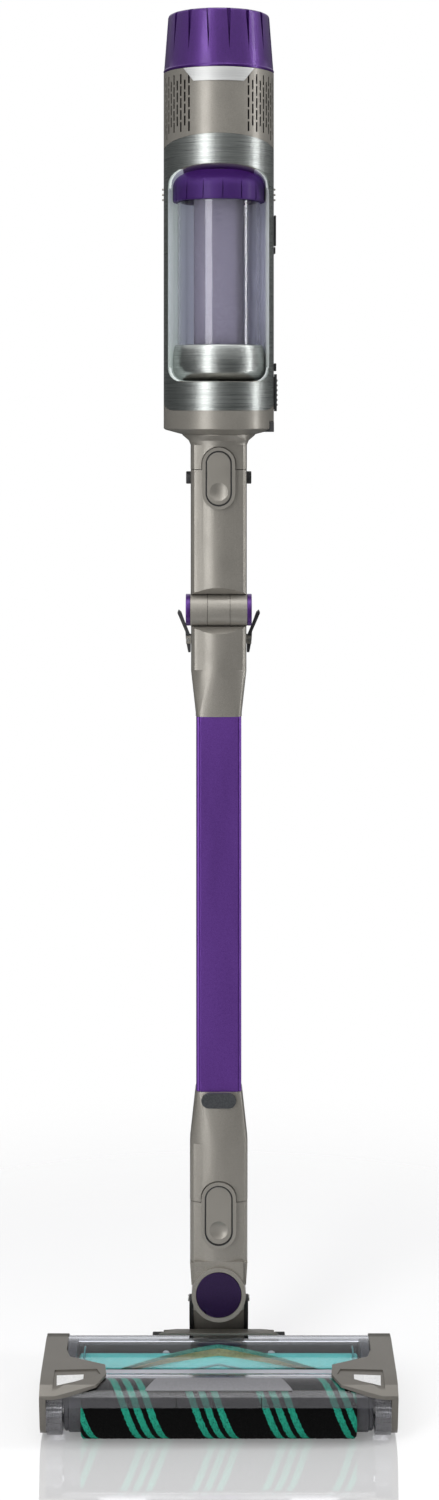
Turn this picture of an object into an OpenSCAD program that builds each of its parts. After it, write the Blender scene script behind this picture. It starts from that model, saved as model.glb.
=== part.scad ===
// Upright cordless stick cleaner: hand unit with dust cup, folding wand and a two-roller floor head.
// Millimetres. +Z is up, the front faces -Y, and the origin is the middle of the footprint on the floor.

/* [Overall] */
// Distance from the middle of the footprint to the front of the hood and to the back of the handle
reach = 117.65; // [117.45:0.05:117.85]
// Width of the floor head
head_w = 278; // [277:1:282]
// Level of the top of the filter cap
top_z = 1128; // [1127:0.5:1130]

/* [Hand unit] */
// Radius of the motor housing and of the steel wrap
unit_r = 45.5; // [45.3:0.1:46]
// Height of the filter cap
cap_h = 48; // [46:1:50]
// Level of the lower edge of the motor housing at its sides
motor_z = 1015; // [1014:1:1016]
// Level of the lower edge of the steel wrap
wrap_z = 802.3; // [801:0.1:803]
// Level of the floor of the cup bay
bay_z = 826; // [825.5:0.1:826.5]
// Level of the top of the cup bay
bay_top_z = 1001.5; // [1001:0.1:1002]
// Half width of the cup bay
bay_w = 38.7; // [38.6:0.1:39]
// Outer radius of the clear cup
cup_r = 34.1; // [33.5:0.1:34.3]
// Columns of vents on each side
vent_columns = 9; // [7:1:9]
// Rows of vents
vent_rows = 6; // [4:1:6]

/* [Wand] */
// Half width of the taupe wand pieces
wand_w = 23; // [22.8:0.1:23.2]
// Half width of the coloured tube
tube_w = 18.5; // [18:0.5:19]
// Radius of the air duct through the wand
duct_r = 14; // [12:0.5:14.5]
// Level of the joint between hand unit and wand
upper_seam_z = 753.6; // [753:0.1:754]
// Level of the fold hinge's axis
fold_z = 638.6; // [638:0.1:639]
// Radius of the fold hinge's knuckles
knuckle_r = 13.2; // [13:0.1:13.4]
// Level of the top of the coloured tube
tube_top_z = 551.6; // [550:0.1:553]
// Level of the bottom of the coloured tube
tube_low_z = 245; // [244:0.1:246]
// Level of the joint between wand and floor head
lower_seam_z = 155.2; // [155:0.1:156]

/* [Neck] */
// Level of the swivel axis
swivel_z = 82.1; // [82:0.1:82.3]
// Radius of the ring round the swivel disc
swivel_ring_r = 22.1; // [22:0.1:22.3]
// Radius of the swivel journal
journal_r = 15; // [14.5:0.1:15]
// Distance of the pitch axis behind the wand's axis
pitch_y = 30; // [30:0.5:31]
// Level of the pitch axis
pitch_z = 20; // [20:0.5:20.5]

/* [Floor head] */
// Radius of the soft front roller
soft_r = 22; // [21.5:0.1:22]
// Length of the soft front roller
soft_l = 214; // [210:1:216]
// Radius over the bristle strips of the rear roller
fin_r = 24.4; // [23.6:0.1:24.5]
// Length of the rear roller
fin_l = 224; // [220:1:226]
// Half width of the clear covers
cover_w = 121; // [120:0.5:121]
// Radius of the rear wheels
wheel_r = 10; // [9:0.5:10]
// Bristle strips on each half of the rear roller
fin_count = 4; // [3:1:5]

/* [Hidden] */
running_gap = 0.05;
face_gap = 0.3;
cap_z = top_z - cap_h;
front_y = -24;
tube_front_y = -18.5;
fold_y = -12;
sleeve_r = 20.5;
outlet_r = 9;
hood_r = 25;
soft_y = hood_r * sin(65) - reach;
soft_z = soft_r;
fin_y = -43;
fin_z = 24.5;
cover_z = 20.5;
cover_r = 33;
sole_z = 3;
wheel_y = 46;
trunnion_r = 4;
spigot_r = duct_r + 3;
lever_x = 25.2;
lever_z = 612.6;
battery_w = 24;
motor_y = -4.5;
motor_axis_z = 15;
big_pulley_r = 13;
small_pulley_r = 6;
button_back_y = -21;
hose_y = 11;
hose_bore_r = 9.6;
taupe = [0.52, 0.50, 0.46];
dark = [0.10, 0.10, 0.11];
purple = [0.30, 0.15, 0.42];
steel = [0.66, 0.67, 0.68];
clear = [0.80, 0.80, 0.86, 0.4];
teal = [0.35, 0.76, 0.70];

// ---------------------------------------------------------------- helpers

// Points of an arc from angle a0 to angle a1
function arc(x, y, r, a0, a1, n) =
    [for (i = [0:n]) let (a = a0 + (a1 - a0) * i / n) [x + r * cos(a), y + r * sin(a)]];

// Outline of an upright slot with round ends, or of a rounded box
function rounded(w, h, r, n = 6) = concat(
    arc(w / 2 - r, h / 2 - r, r, 0, 90, n), arc(r - w / 2, h / 2 - r, r, 90, 180, n),
    arc(r - w / 2, r - h / 2, r, 180, 270, n), arc(w / 2 - r, r - h / 2, r, 270, 360, n));

// Plan of a wand piece: bowed front, rounded front edges, half-oval back
function wand_plan(w, front, back, bow, edge) = concat(
    [for (i = [-4:4]) [(w - edge) * i / 4, front + bow * pow(i / 4, 2)]],
    [for (p = arc(w - edge, front + bow + edge, edge, -60, 0, 2)) p],
    [for (i = [0:12]) [w * cos(15 * i), back * sin(15 * i)]],
    [for (p = arc(edge - w, front + bow + edge, edge, 180, 240, 2)) p]);

// Box between two corners
module block(low, high) {
    translate(low) cube(high - low);
}

// Cylinder along X, Y or Z between two coordinates
module xcyl(r, x0, x1, y, z, fn = 96) {
    translate([x0, y, z]) rotate([0, 90, 0]) cylinder(r = r, h = x1 - x0, $fn = fn);
}
module ycyl(r, y0, y1, x, z, fn = 96) {
    translate([x, y0, z]) rotate([-90, 0, 0]) cylinder(r = r, h = y1 - y0, $fn = fn);
}
module zcyl(r, z0, z1, x = 0, y = 0, fn = 96) {
    translate([x, y, z0]) cylinder(r = r, h = z1 - z0, $fn = fn);
}

// Side profile, given as [y, z] points, extruded across the width from x0 to x1
module across(points, x0, x1) {
    translate([x0, 0, 0]) rotate([90, 0, 90]) linear_extrude(x1 - x0) polygon(points);
}

// Front outline, given as [x, z] points, extruded in depth from y0 to y1
module through(points, y0, y1) {
    translate([0, y1, 0]) rotate([90, 0, 0]) linear_extrude(y1 - y0) polygon(points);
}

// Plan outline extruded upwards from z0 to z1
module upward(points, z0, z1) {
    translate([0, 0, z0]) linear_extrude(z1 - z0) polygon(points);
}

// Profile of [radius, z] points turned about Z
module turned(points, fn = 128) {
    rotate_extrude($fn = fn) polygon(points);
}

// ---------------------------------------------------------------- hand unit

// Right half of the bay's front outline, shrunk by an inset
function bay_half(inset, steps = 10) = let (
    w = bay_w - inset, low = bay_z + inset, corner = 11, shoulder = 984, rise = bay_top_z - inset - shoulder)
    concat([[0, low]], arc(w - corner, low + corner, corner, -90, 0, 5),
        [for (i = [0:steps]) let (a = 90 * i / steps)
            [w * pow(cos(a), 2 / 2.7), shoulder + rise * pow(sin(a), 2 / 2.7)]]);

// Whole front outline of the bay
function mirrored(half) = concat(half, [for (i = [len(half) - 2:-1:1]) [-half[i][0], half[i][1]]]);

// Twist-off cap with sixteen tapered grip notches
module filter_cap() {
    notch = 3.6;
    color(purple) difference() {
        turned([[0, cap_z + 4], [41.5, cap_z + 4], [41.5, cap_z], [unit_r - 0.3, cap_z],
            [unit_r + 0.2, cap_z + 1.6], [unit_r - 0.4, cap_z + 3], [41.8, top_z - 2.4], [41.2, top_z - 0.8],
            [39.6, top_z], [30, top_z], [28, top_z - 1.2], [0, top_z - 1.2]]);
        for (i = [0:15]) rotate([0, 0, 22.5 * i + 11.25]) translate([0, -39.9, 0])
            through([[0, top_z - 34], [notch / 2, top_z + 1], [-notch / 2, top_z + 1]], -10, 0);
        turned([[0, cap_z - 1], [39, cap_z - 1], [38, top_z - 6], [0, top_z - 6]]);
    }
}

// Pleated exhaust filter under the cap
module exhaust_filter() {
    pleats = 36;
    color([0.85, 0.84, 0.80]) difference() {
        translate([0, 0, cap_z - face_gap]) linear_extrude(38) polygon([for (i = [0:2 * pleats - 1])
            let (r = i % 2 == 0 ? 36 : 32.5, a = 180 * i / pleats) [r * cos(a), r * sin(a)]]);
        zcyl(24, cap_z - 1, cap_z + 34);
    }
}

// Arched line shared by the motor housing and the steel wrap
function wrap_arch(x) = motor_z + 11 * sqrt(max(0, 1 - pow(x / (unit_r + 0.6), 2)));

// Vented ring round the motor; the vents are staggered slots on both sides
module motor_housing() {
    step = 5.3;
    slot_h = 8;
    slot_w = 1.6;
    pitch = 9.7;
    color(taupe) difference() {
        zcyl(unit_r, motor_z - 9, cap_z - face_gap);
        zcyl(unit_r - 2.6, motor_z - 3, cap_z - 3.3);
        zcyl(24, cap_z - 4, cap_z + 1);
        for (side = [-1, 1], c = [0:vent_columns - 1], r = [0:vent_rows - 1]) {
            rise = (c % 2) * pitch / 2;
            low = cap_z - 5 - slot_h - r * pitch - rise;
            arch = wrap_arch(unit_r * sin(32 + step * c)) + 3;
            if (low > arch) rotate([0, 0, side * (32 + step * c)])
                block([-slot_w / 2, -unit_r - 1, low], [slot_w / 2, -unit_r + 4, low + slot_h]);
        }
        wrap_seat();
        zcyl(20, motor_z - 10, motor_z);
    }
}

// Room for the steel wrap on whatever lies behind it
module wrap_seat() {
    half = unit_r + 2;
    difference() {
        through([[-half, 700], [half, 700], for (i = [12:-1:-12]) let (x = half * i / 12)
            [x, wrap_arch(min(unit_r + 0.6, max(-unit_r - 0.6, x))) + 0.15]], -60, -1.6);
        zcyl(unit_r - 1.35, 600, 1100);
    }
}

// Suction motor: can with its core, mounting flange and terminals
module suction_motor() {
    color([0.3, 0.3, 0.32]) union() {
        difference() {
            zcyl(30, motor_z + 22, motor_z + 54);
            difference() {
                zcyl(26.5, motor_z + 21, motor_z + 50.5);
                zcyl(11, motor_z + 20, motor_z + 51);
            }
        }
        zcyl(unit_r - 2.62, motor_z + 30, motor_z + 33.5);
        zcyl(12, motor_z + 53, motor_z + 59);
        for (a = [0:60:300]) rotate([0, 0, a]) block([-3, 29, motor_z + 36], [3, 36, motor_z + 50]);
        zcyl(4, motor_z + 3, motor_z + 23);
    }
}

// Fan on the motor's shaft
module motor_fan() {
    color([0.85, 0.85, 0.86]) difference() {
        union() {
            turned([[0, motor_z + 2], [10, motor_z + 2], [10, motor_z + 9], [33, motor_z + 12.5],
                [33, motor_z + 14], [0, motor_z + 14]]);
            for (a = [0:40:320]) rotate([0, 0, a]) translate([10, 0, motor_z + 5]) rotate([0, 0, 24])
                block([-2, -0.6, 0], [20, 0.6, 7]);
        }
        zcyl(4 + running_gap, motor_z + 1, motor_z + 22);
    }
}

// Bare plate under the cap
module badge_plate() {
    color(steel) intersection() {
        difference() {
            zcyl(unit_r + 0.8, cap_z - 12, cap_z - 0.5);
            zcyl(unit_r + 0.02, cap_z - 13, cap_z);
        }
        through([[-29, cap_z - 0.4], [29, cap_z - 0.4], [20.4, cap_z - 11.6], [-20.4, cap_z - 11.6]], -60, -30);
    }
}

// Brushed sleeve with the cup window, arched at the top and with round lower corners
module steel_wrap() {
    w = unit_r + 0.5;
    window = [for (p = mirrored(bay_half(0, 8))) [p[0] * 1.075, p[1] + (p[1] > 900 ? 0.4 : -0.6)]];
    outline = concat(
        arc(w - 9, wrap_z + 9, 9, -90, 0, 5),
        [for (i = [16:-1:-16]) let (x = w * i / 16) [x, wrap_arch(x)]],
        arc(9 - w, wrap_z + 9, 9, 180, 270, 5));
    color(steel) intersection() {
        difference() {
            zcyl(unit_r, wrap_z - 1, motor_z + 14);
            zcyl(unit_r - 1.2, wrap_z - 2, motor_z + 15);
        }
        difference() {
            through(outline, -60, -2);
            through(window, -61, 0);
        }
    }
}

// Backbone round the cup bay, open at the front, with three small ribs on each flank
module cup_frame() {
    flare = mirrored(bay_half(-0.15, 8));
    color(taupe) difference() {
        union() {
            turned([[0, 782.4], [30, 782.4], [36, 784], [44, 786.2], [unit_r, 787.4], [unit_r, motor_z - 9.3],
                [0, motor_z - 9.3]]);
            for (side = [0, 1], z = [976.3, 980.6, 985])
                mirror([side, 0, 0]) xcyl(0.8, unit_r - 1, unit_r + 1.4, 4, z, 24);
        }
        wrap_seat_low();
        turned(concat([[0, bay_z - 0.15]], [for (p = bay_half(-0.15, 8)) p]));
        through(flare, -70, -2);
        bay_flare();
        zcyl(duct_r, 760, bay_z + 1);
        block([unit_r - 9.5, -19, 783], [unit_r + 2, -4, 793.4]);
        block([unit_r - 2.4, -2.4, 797], [unit_r + 2, 2.4, 834]);
        zcyl(outlet_r, bay_top_z - 2, motor_z);
        difference() {
            zcyl(41, 797, 822);
            zcyl(duct_r + 3, 796, 823);
        }
        block([-10, 30, 800], [10, 50, 818]);
    }
}

// Seat of the steel wrap on the backbone, closed at the wrap's lower edge
module wrap_seat_low() {
    w = unit_r + 0.65;
    difference() {
        through(concat(arc(w - 9, wrap_z + 8.85, 9, -90, 0, 5), [[w, 1100], [-w, 1100]],
            arc(9 - w, wrap_z + 8.85, 9, 180, 270, 5)), -60, -1.6);
        zcyl(unit_r - 1.35, 700, 1101);
    }
}

// Bevelled lip of the window: the bay opens wider towards the front
module bay_flare() {
    half = bay_w + 3.1;
    upward([[-half, -60], [half, -60], [half, -17.5], [bay_w + 0.15, -8], [-bay_w - 0.15, -8], [-half, -17.5]],
        bay_z + 11, 984);
}

// Dark catches on the right flank: cup catch, stop of the release and the corner block
module side_catch() {
    color(dark) {
        block([unit_r + 0.05, -4, 938], [unit_r + 1.8, 4, 963]);
        block([unit_r + 0.05, -3, 931.5], [unit_r + 1.3, 3, 937]);
        block([unit_r + 0.05, -4, 834.6], [unit_r + 2, 4, 841]);
        block([unit_r - 8.8, -18.3, 784.6], [unit_r - 0.3, -4.6, 792.8]);
    }
}

// Sliding cup release on the right flank
module cup_release() {
    color(dark) union() {
        block([unit_r + 0.3, -5, 801.5], [unit_r + 2.4, 5, 832]);
        for (z = [806:4:828]) block([unit_r + 2.4, -4, z], [unit_r + 3, 4, z + 1.6]);
        block([unit_r - 2.3, -1.7, 803], [unit_r + 1, 2.3, 830]);
    }
}

// Clear cylinder of the dust cup
module cup_tube() {
    color(clear) difference() {
        zcyl(cup_r, 856, 979);
        zcyl(cup_r - 1.8, 855, 980);
    }
}

// Coloured collar of the cup with notches cut up from its lower edge
module cup_collar() {
    dome = [for (p = bay_half(0.6, 10)) if (p[1] > 983) p];
    color(purple) difference() {
        turned(concat([[0, 974], [bay_w - 1.2, 974], [bay_w - 0.6, 975.5]], dome));
        zcyl(cup_r + 0.1, 973, 979.1);
        turned([[0, 970], [30, 970], [30, 990], [18, 996], [0, 996]]);
        zcyl(outlet_r, 990, bay_top_z + 1);
        for (i = [0:14]) rotate([0, 0, 24 * i + 5]) translate([0, -bay_w + 1.6, 0])
            through([[-0.75, 973], [0.75, 973], [0, 994]], -6, 0);
    }
}

// Barrel-shaped steel base of the cup
module cup_base() {
    color(steel) difference() {
        turned([[0, bay_z + 0.6], [28, bay_z + 0.6], [32.5, bay_z + 1.7], [36, bay_z + 4.6],
            [37.7, bay_z + 8.5], [38.1, bay_z + 14], [37.9, 845], [37.2, 852], [36.6, 855.2], [35.8, 855.9],
            [0, 855.9]]);
        turned([[0, bay_z + 2], [27.6, bay_z + 2], [31.9, bay_z + 3], [35, bay_z + 5.4], [36.5, bay_z + 8.9],
            [36.9, bay_z + 14], [36.7, 845], [36.1, 852], [32, 854.3], [32, 857], [0, 857]]);
    }
}

// Outlet of the cyclone: flange between the sleeve and the collar's ceiling
module cyclone_core() {
    color([0.78, 0.77, 0.82]) difference() {
        turned([[0, 984], [sleeve_r, 984], [24, 987], [29.9, 987], [29.9, 990], [18, 995.95], [0, 995.95]]);
        turned([[0, 983], [sleeve_r - 1, 983], [sleeve_r - 1, 984.1], [outlet_r, 990], [outlet_r, 997],
            [0, 997]]);
    }
}

// Smooth inner sleeve, perforated near its foot, that stands on the floor of the cup
module cup_screen() {
    color([0.6, 0.6, 0.64]) difference() {
        zcyl(sleeve_r, bay_z + 2, 983.9);
        zcyl(sleeve_r - 1, bay_z + 1, 985);
        for (a = [0:45:315], z = [832:6:850]) rotate([0, 0, a]) ycyl(1.2, 15, 25, 0, z, 16);
    }
}

// Side profile of the handle: top arm, sloping grip and the battery dock
handle_outer = [[36, 1071], [84, 1075], [104, 1068], [112, 1056], [113, 1040], [106, 1010], [100, 915],
    [116, 904], [116, 858], [36, 858]];
handle_inner = [[47.5, 912], [74, 912], [78, 922], [84, 1005], [80, 1020], [70, 1028], [47.5, 1030]];

// Core of the grip, inside its rubber sleeve
module grip_core(gap) {
    across([[81 - gap, 905], [97 + gap, 905], [102.5 + gap, 1012], [87.5 - gap, 1012]], -12 - gap, 12 + gap);
}

// Loop handle that joins the motor housing to the battery dock
module handle() {
    color(taupe) difference() {
        union() {
            intersection() {
                across(handle_outer, -17, 17);
                upward([[-17, 30], [17, 30], [17, 108], [12, 118], [-12, 118], [-17, 108]], 850, 1080);
            }
            across([[30, 902], [116, 902], [116, 858], [30, 858]], -28, 28);
        }
        across(handle_inner, -30, 30);
        zcyl(unit_r + 0.06, 850, 1090);
        difference() {
            across([[60, 929.5], [118, 911.7], [118, 1005.5], [60, 997.4]], -30, 30);
            grip_core(0);
        }
        across([[76, 1002], [88, 1002], [91, 1019], [76, 1019]], -6.3, 6.3);
        across([[88, 1069.3], [104.4, 1062.4], [110, 1072], [90, 1080]], -11.3, 11.3);
        zcyl(4.3, 1058, 1080, 0, 76);
        across([[50, 1036], [70, 1034.5], [84, 1027], [97, 1030], [102, 1040], [101, 1050], [92, 1058],
            [76, 1061], [50, 1060]], -13, 13);
        block([-24, 50, 863], [24, 111, 898]);
        block([-6, 60, 850], [6, 90, 864]);
        for (side = [-1, 1]) block([side * 14 - 4.1, 40, 850], [side * 14 + 4.1, 130, 860.7]);
    }
}

// Rubber sleeve round the grip
module grip_sleeve() {
    color(dark) difference() {
        intersection() {
            across([[76.3, 924.6], [100.2, 917.4], [105.4, 1003.5], [83.2, 1000.4]], -16.4, 16.4);
            upward(concat(arc(-8.4, 84, 8, 180, 270, 4), arc(8.4, 84, 8, 270, 360, 4),
                arc(4.4, 93.4, 12, 0, 90, 5), arc(-4.4, 93.4, 12, 90, 180, 5)), 910, 1010);
        }
        grip_core(running_gap);
    }
}

// Power trigger on the front of the grip
module trigger() {
    color(dark) across([[74.5, 1003], [84.2, 1003.4], [86, 1017], [77.5, 1018], [73.5, 1012]], -6.2, 6.2);
}

// Dark display panel on the back of the handle's top
module display_panel() {
    color([0.05, 0.05, 0.06]) across([[88.6, 1069.2], [104.2, 1062.7], [105, 1064.6], [89.4, 1071.1]], -11, 11);
}

// Mode button on top of the handle
module mode_button() {
    color(dark) zcyl(4, 1061.5, 1076.6, 0, 76, 48);
}

// Rechargeable battery that slides out backwards from under the dock
module battery() {
    color([0.16, 0.16, 0.17]) difference() {
        union() {
            upward(concat([[-battery_w, 48], [battery_w, 48]], arc(battery_w - 8, reach - 8, 8, 0, 90, 4),
                arc(8 - battery_w, reach - 8, 8, 90, 180, 4)), 796, 857.9);
            for (side = [-1, 1]) block([side * 14 - 4, 52, 857], [side * 14 + 4, 100, 860.6]);
        }
        block([-9.3, reach - 7, 836], [9.3, reach + 1, 850]);
        for (z = [806:6:824]) block([-30, reach - 1, z], [30, reach + 1, z + 1.5]);
    }
}

// Press tab that frees the battery
module battery_release() {
    color(purple) block([-9, reach - 4.5, 836.3], [9, reach - 0.6, 849.7]);
}

// Lower housing: funnels into the wand socket
module unit_neck() {
    plan = wand_plan(wand_w + 0.1, front_y, 24, 4, 6);
    color(taupe) difference() {
        union() {
            upward(plan, upper_seam_z + 0.5, 774.5);
            hull() {
                upward(plan, 774, 775);
                upward(wand_plan(24.6, front_y - 1, 26, 4, 7), 777.6, 778);
            }
            hull() {
                upward(wand_plan(24.6, front_y - 1, 26, 4, 7), 777.6, 778);
                zcyl(30, 781.8, 782.4, 0, 0, 48);
            }
        }
        zcyl(duct_r, 740, 783);
        zcyl(spigot_r + running_gap, upper_seam_z - 1, upper_seam_z + 16);
        through(rounded_at(0, 746.7, 28.4, 52.2, 14.2), -40, -19.1);
        through(rounded_at(0, 746.7, 21, 45, 10.5), -40, -18.2);
    }
}

// Rounded outline moved to a place on the front
function rounded_at(x, z, w, h, r) = [for (p = rounded(w, h, r)) p + [x, z]];

// ---------------------------------------------------------------- wand

// Slot-shaped boss with a pocket for a press button
module button_boss(z, w, h, y_front) {
    difference() {
        through(rounded_at(0, z, w, h, w / 2), y_front, -19.4);
        through(rounded_at(0, z, w - 6.4, h - 6.4, w / 2 - 3.2), y_front - 1, -15);
    }
}

// Press button with a thumb dimple near its foot
module press_button(z, w, h, y_front) {
    difference() {
        through(rounded_at(0, z, w - 7.4, h - 7.4, w / 2 - 3.7), y_front + 0.4, button_back_y);
        translate([0, y_front - 17, z - h / 2 + w / 2 + 1]) sphere(r = 19, $fn = 64);
    }
}

// Upper wand: socket end with its release button, down to the middle knuckle
module upper_wand() {
    plan = wand_plan(wand_w, front_y, 24, 4, 6);
    color(taupe) difference() {
        union() {
            difference() {
                upward(plan, fold_z + 0.2, upper_seam_z);
                block([-30, -30, fold_z - 1], [30, 2.2, fold_z + knuckle_r + 0.2]);
                across([[-30, fold_z + 10], [-17, fold_z + 13], [-30, fold_z + 24]], -30, 30);
                through(rounded_at(0, 746.7, 20.3, 45, 10.1), -40, -15);
            }
            zcyl(spigot_r, upper_seam_z - 1, upper_seam_z + 15);
            button_boss(746.7, 27, 50.8, front_y - 1.4);
            xcyl(knuckle_r, -9.1, 9.1, fold_y, fold_z);
            across([[fold_y, fold_z + 2], [fold_y, fold_z + 16], [9, fold_z + 16], [9, fold_z + 0.3],
                [1.2, fold_z + 0.3]], -9.1, 9.1);
        }
        zcyl(duct_r, fold_z + 24, upper_seam_z + 20);
        zcyl(hose_bore_r, fold_z - 30, fold_z + 38, 0, hose_y);
        xcyl(3 + running_gap, -30, 30, fold_y, fold_z, 48);
    }
}

// Release button at the top of the wand
module upper_button() {
    color(taupe) press_button(746.7, 27, 50.8, front_y - 1.4);
}

// Accessory pegs on both sides of the upper joint
module side_pegs() {
    color(dark) for (side = [-1, 1])
        xcyl(5.2, side > 0 ? wand_w + 0.02 : -wand_w - 4, side > 0 ? wand_w + 4 : -wand_w - 0.02, 4, 746.6, 48);
}

// Lower hinge half: two outer knuckles on a collar that narrows to the tube
module hinge_collar() {
    plan = wand_plan(22.7, front_y, 24, 4, 6);
    narrow = wand_plan(18.9, tube_front_y - 1, 19.5, 1, 5);
    color(taupe) difference() {
        union() {
            difference() {
                upward(plan, 589.6, fold_z - 0.2);
                block([-30, -30, fold_z - knuckle_r - 0.2], [30, 2.2, fold_z + 1]);
                across([[-30, fold_z - 10], [-17, fold_z - 13], [-30, fold_z - 24]], -30, 30);
            }
            hull() {
                upward(plan, 589, 590);
                upward(narrow, tube_top_z + 3, tube_top_z + 4);
            }
            upward(narrow, tube_top_z, tube_top_z + 3.2);
            for (side = [-1, 1]) {
                xcyl(knuckle_r, side > 0 ? 9.4 : -23.2, side > 0 ? 23.2 : -9.4, fold_y, fold_z);
                across([[fold_y, fold_z - 2], [1.2, fold_z - 0.3], [9, fold_z - 0.3], [9, fold_z - 16],
                    [fold_y, fold_z - 16]], side > 0 ? 9.4 : -22.6, side > 0 ? 22.6 : -9.4);
                for (y = [-0.4, 14.3])
                    block([side > 0 ? 14.6 : -27, y, 609.4], [side > 0 ? 27 : -14.6, y + 2.1, 615.8]);
            }
        }
        zcyl(duct_r, tube_top_z - 1, fold_z - 24);
        zcyl(hose_bore_r, fold_z - 38, fold_z + 30, 0, hose_y);
        xcyl(3, -30, 30, fold_y, fold_z, 48);
        for (side = [-1, 1]) ycyl(1.5, -2, 18, side * lever_x, lever_z, 32);
    }
}

// Steel pin of the fold hinge
module hinge_pin() {
    color(steel) xcyl(3, -25.5, 25.5, fold_y, fold_z, 48);
}

// Coloured discs that cap the hinge pin
module hinge_discs() {
    color(purple) for (side = [-1, 1]) difference() {
        xcyl(13, side > 0 ? 23.3 : -27, side > 0 ? 27 : -23.3, fold_y, fold_z);
        xcyl(3.02, -25.5, 25.5, fold_y, fold_z, 48);
    }
}

// Flexible air hose inside the fold hinge
module fold_hose() {
    color(dark) difference() {
        zcyl(hose_bore_r - 0.35, fold_z - 23, fold_z + 23, 0, hose_y, 48);
        zcyl(hose_bore_r - 1.2, fold_z - 24, fold_z + 24, 0, hose_y, 48);
    }
}

// Squeeze lever: flared thumb tip above its pivot, long arm below
module lever(side) {
    outline = [[23.3, 602], [25.3, 602], [27.2, 612], [27.6, 619], [29.6, 623.6], [34.2, 634.4], [33.4, 636.4],
        [31.2, 634.6], [28.6, 627.4], [26, 621], [24, 616], [23.3, 611]];
    color(dark) difference() {
        through([for (p = outline) [side * p[0], p[1]]], 2, 14);
        ycyl(1.5 + running_gap, 1, 15, side * lever_x, lever_z, 32);
    }
}
module left_lever() {
    lever(-1);
}
module right_lever() {
    lever(1);
}

// Pivot pins of the two levers, with their small heads
module lever_pins() {
    color(steel) for (side = [-1, 1]) ycyl(1.5, -0.6, 16.6, side * lever_x, lever_z, 32);
}

// Straight coloured tube, two millimetres thick, with a raised front panel between two grooves
module wand_tube() {
    w = tube_w;
    front = tube_front_y;
    plan = concat([[-w + 0.8, front + 0.7], [-w + 2.6, front], [-w + 2.6, front + 1], [-w + 3.7, front + 1],
        [-w + 3.7, front - 0.4], [w - 2.6, front - 0.4], [w - 2.6, front + 1], [w - 1.6, front + 1],
        [w - 1.6, front + 0.3], [w, front + 2]],
        [for (i = [0:12]) [w * cos(15 * i), 19 * sin(15 * i)]], [[-w, front + 2]]);
    color(purple) difference() {
        upward(plan, tube_low_z + 0.1, tube_top_z - 0.1);
        upward(concat([[3.2 - w, front + 3.4], [w - 3.2, front + 3.4]], [for (i = [0:12])
            [(w - 2) * cos(15 * i), 17 * sin(15 * i)]]), tube_low_z - 1, tube_top_z + 1);
    }
}

// Lower connector: widens from the tube and carries the indicator
module lower_connector() {
    narrow = wand_plan(19.1, tube_front_y - 2, 19.8, 1, 5);
    plan = wand_plan(wand_w + 0.6, front_y, 24, 4, 6);
    color(taupe) difference() {
        union() {
            hull() {
                upward(narrow, tube_low_z - 1, tube_low_z);
                upward(plan, 203, 204);
            }
            upward(plan, lower_seam_z + 0.5, 203.2);
        }
        zcyl(duct_r, 100, tube_low_z + 1);
        zcyl(spigot_r + running_gap, lower_seam_z - 1, lower_seam_z + 16);
        through(rounded_at(0, 146, 29.6, 55.6, 14.8), -40, -19.1);
        through(rounded_at(0, 146, 22.4, 48.4, 11.2), -40, -18.2);
        translate([0, 0, 238.5]) through(rounded(29.2, 12.8, 6.4), -30, -20.2);
    }
}

// Smoked lens of the indicator light
module indicator_lens() {
    color([0.22, 0.23, 0.24]) translate([0, 0, 238.5]) through(rounded(28.6, 12.2, 6.1), -22.6, -20.2);
}

// Elbow of the floor head: socket end with its release button, and the swivel eye
module elbow() {
    plan = wand_plan(wand_w + 0.5, front_y, 24, 4, 6);
    color(taupe) difference() {
        union() {
            difference() {
                upward(plan, 105.2, lower_seam_z);
                through(rounded_at(0, 146, 22, 48, 11), -40, -15);
            }
            zcyl(spigot_r, lower_seam_z - 1, lower_seam_z + 15);
            button_boss(146, 28.4, 54.4, front_y - 1.4);
            through([[-22.3, 88], [22.3, 88], [wand_w + 0.5, 106], [-wand_w - 0.5, 106]], -20.5, -4);
            across([[-25.8, 88], [-20, 88], [-20, 108], [-24, 108]], -20, 20);
            ycyl(swivel_ring_r, -27, -4, 0, swivel_z);
        }
        ycyl(journal_r + running_gap, -30, 0, 0, swivel_z);
        ycyl(18.7, -30, -25.2, 0, swivel_z);
        zcyl(duct_r, 108, lower_seam_z + 20);
    }
}

// Release button of the floor head
module lower_button() {
    color(taupe) press_button(146, 28.4, 54.4, front_y - 1.4);
}

// ---------------------------------------------------------------- neck

// Neck: swivel journal and lug on top, pitch barrel at the foot
module neck_block() {
    side = [[-3.6, 60], [-3.6, swivel_z], [18, swivel_z], [24, 66], [40, 30], [pitch_y, pitch_z],
        [pitch_y - 14, pitch_z + 2], [8, 40]];
    color(taupe) difference() {
        union() {
            across(side, -20.8, 20.8);
            ycyl(20.6, -3.6, 18, 0, swivel_z);
            ycyl(journal_r, -25.4, -3, 0, swivel_z);
            xcyl(13, -20.8, 20.8, pitch_y, pitch_z);
        }
        xcyl(trunnion_r + running_gap, -30, 30, pitch_y, pitch_z, 48);
        ycyl(10.5, -20, 6, 0, swivel_z);
        for (s = [-1, 1]) xcyl(1.6, s > 0 ? 14 : -22, s > 0 ? 22 : -14, 3, 67.5, 24);
    }
}

// Black arms that carry the neck's load down to the pitch pin
module neck_arms() {
    side = concat(arc(3, 66, 4.6, 20, 200, 6), [[-0.5, 52], [16, 22]], arc(pitch_y, pitch_z, 9, 200, 390, 8));
    color(dark) for (s = [-1, 1]) difference() {
        across(side, s > 0 ? 20.9 : -24.3, s > 0 ? 24.3 : -20.9);
        xcyl(trunnion_r + running_gap, -30, 30, pitch_y, pitch_z, 48);
        xcyl(1.65, -30, 30, 3, 67.5, 24);
    }
}

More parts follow.
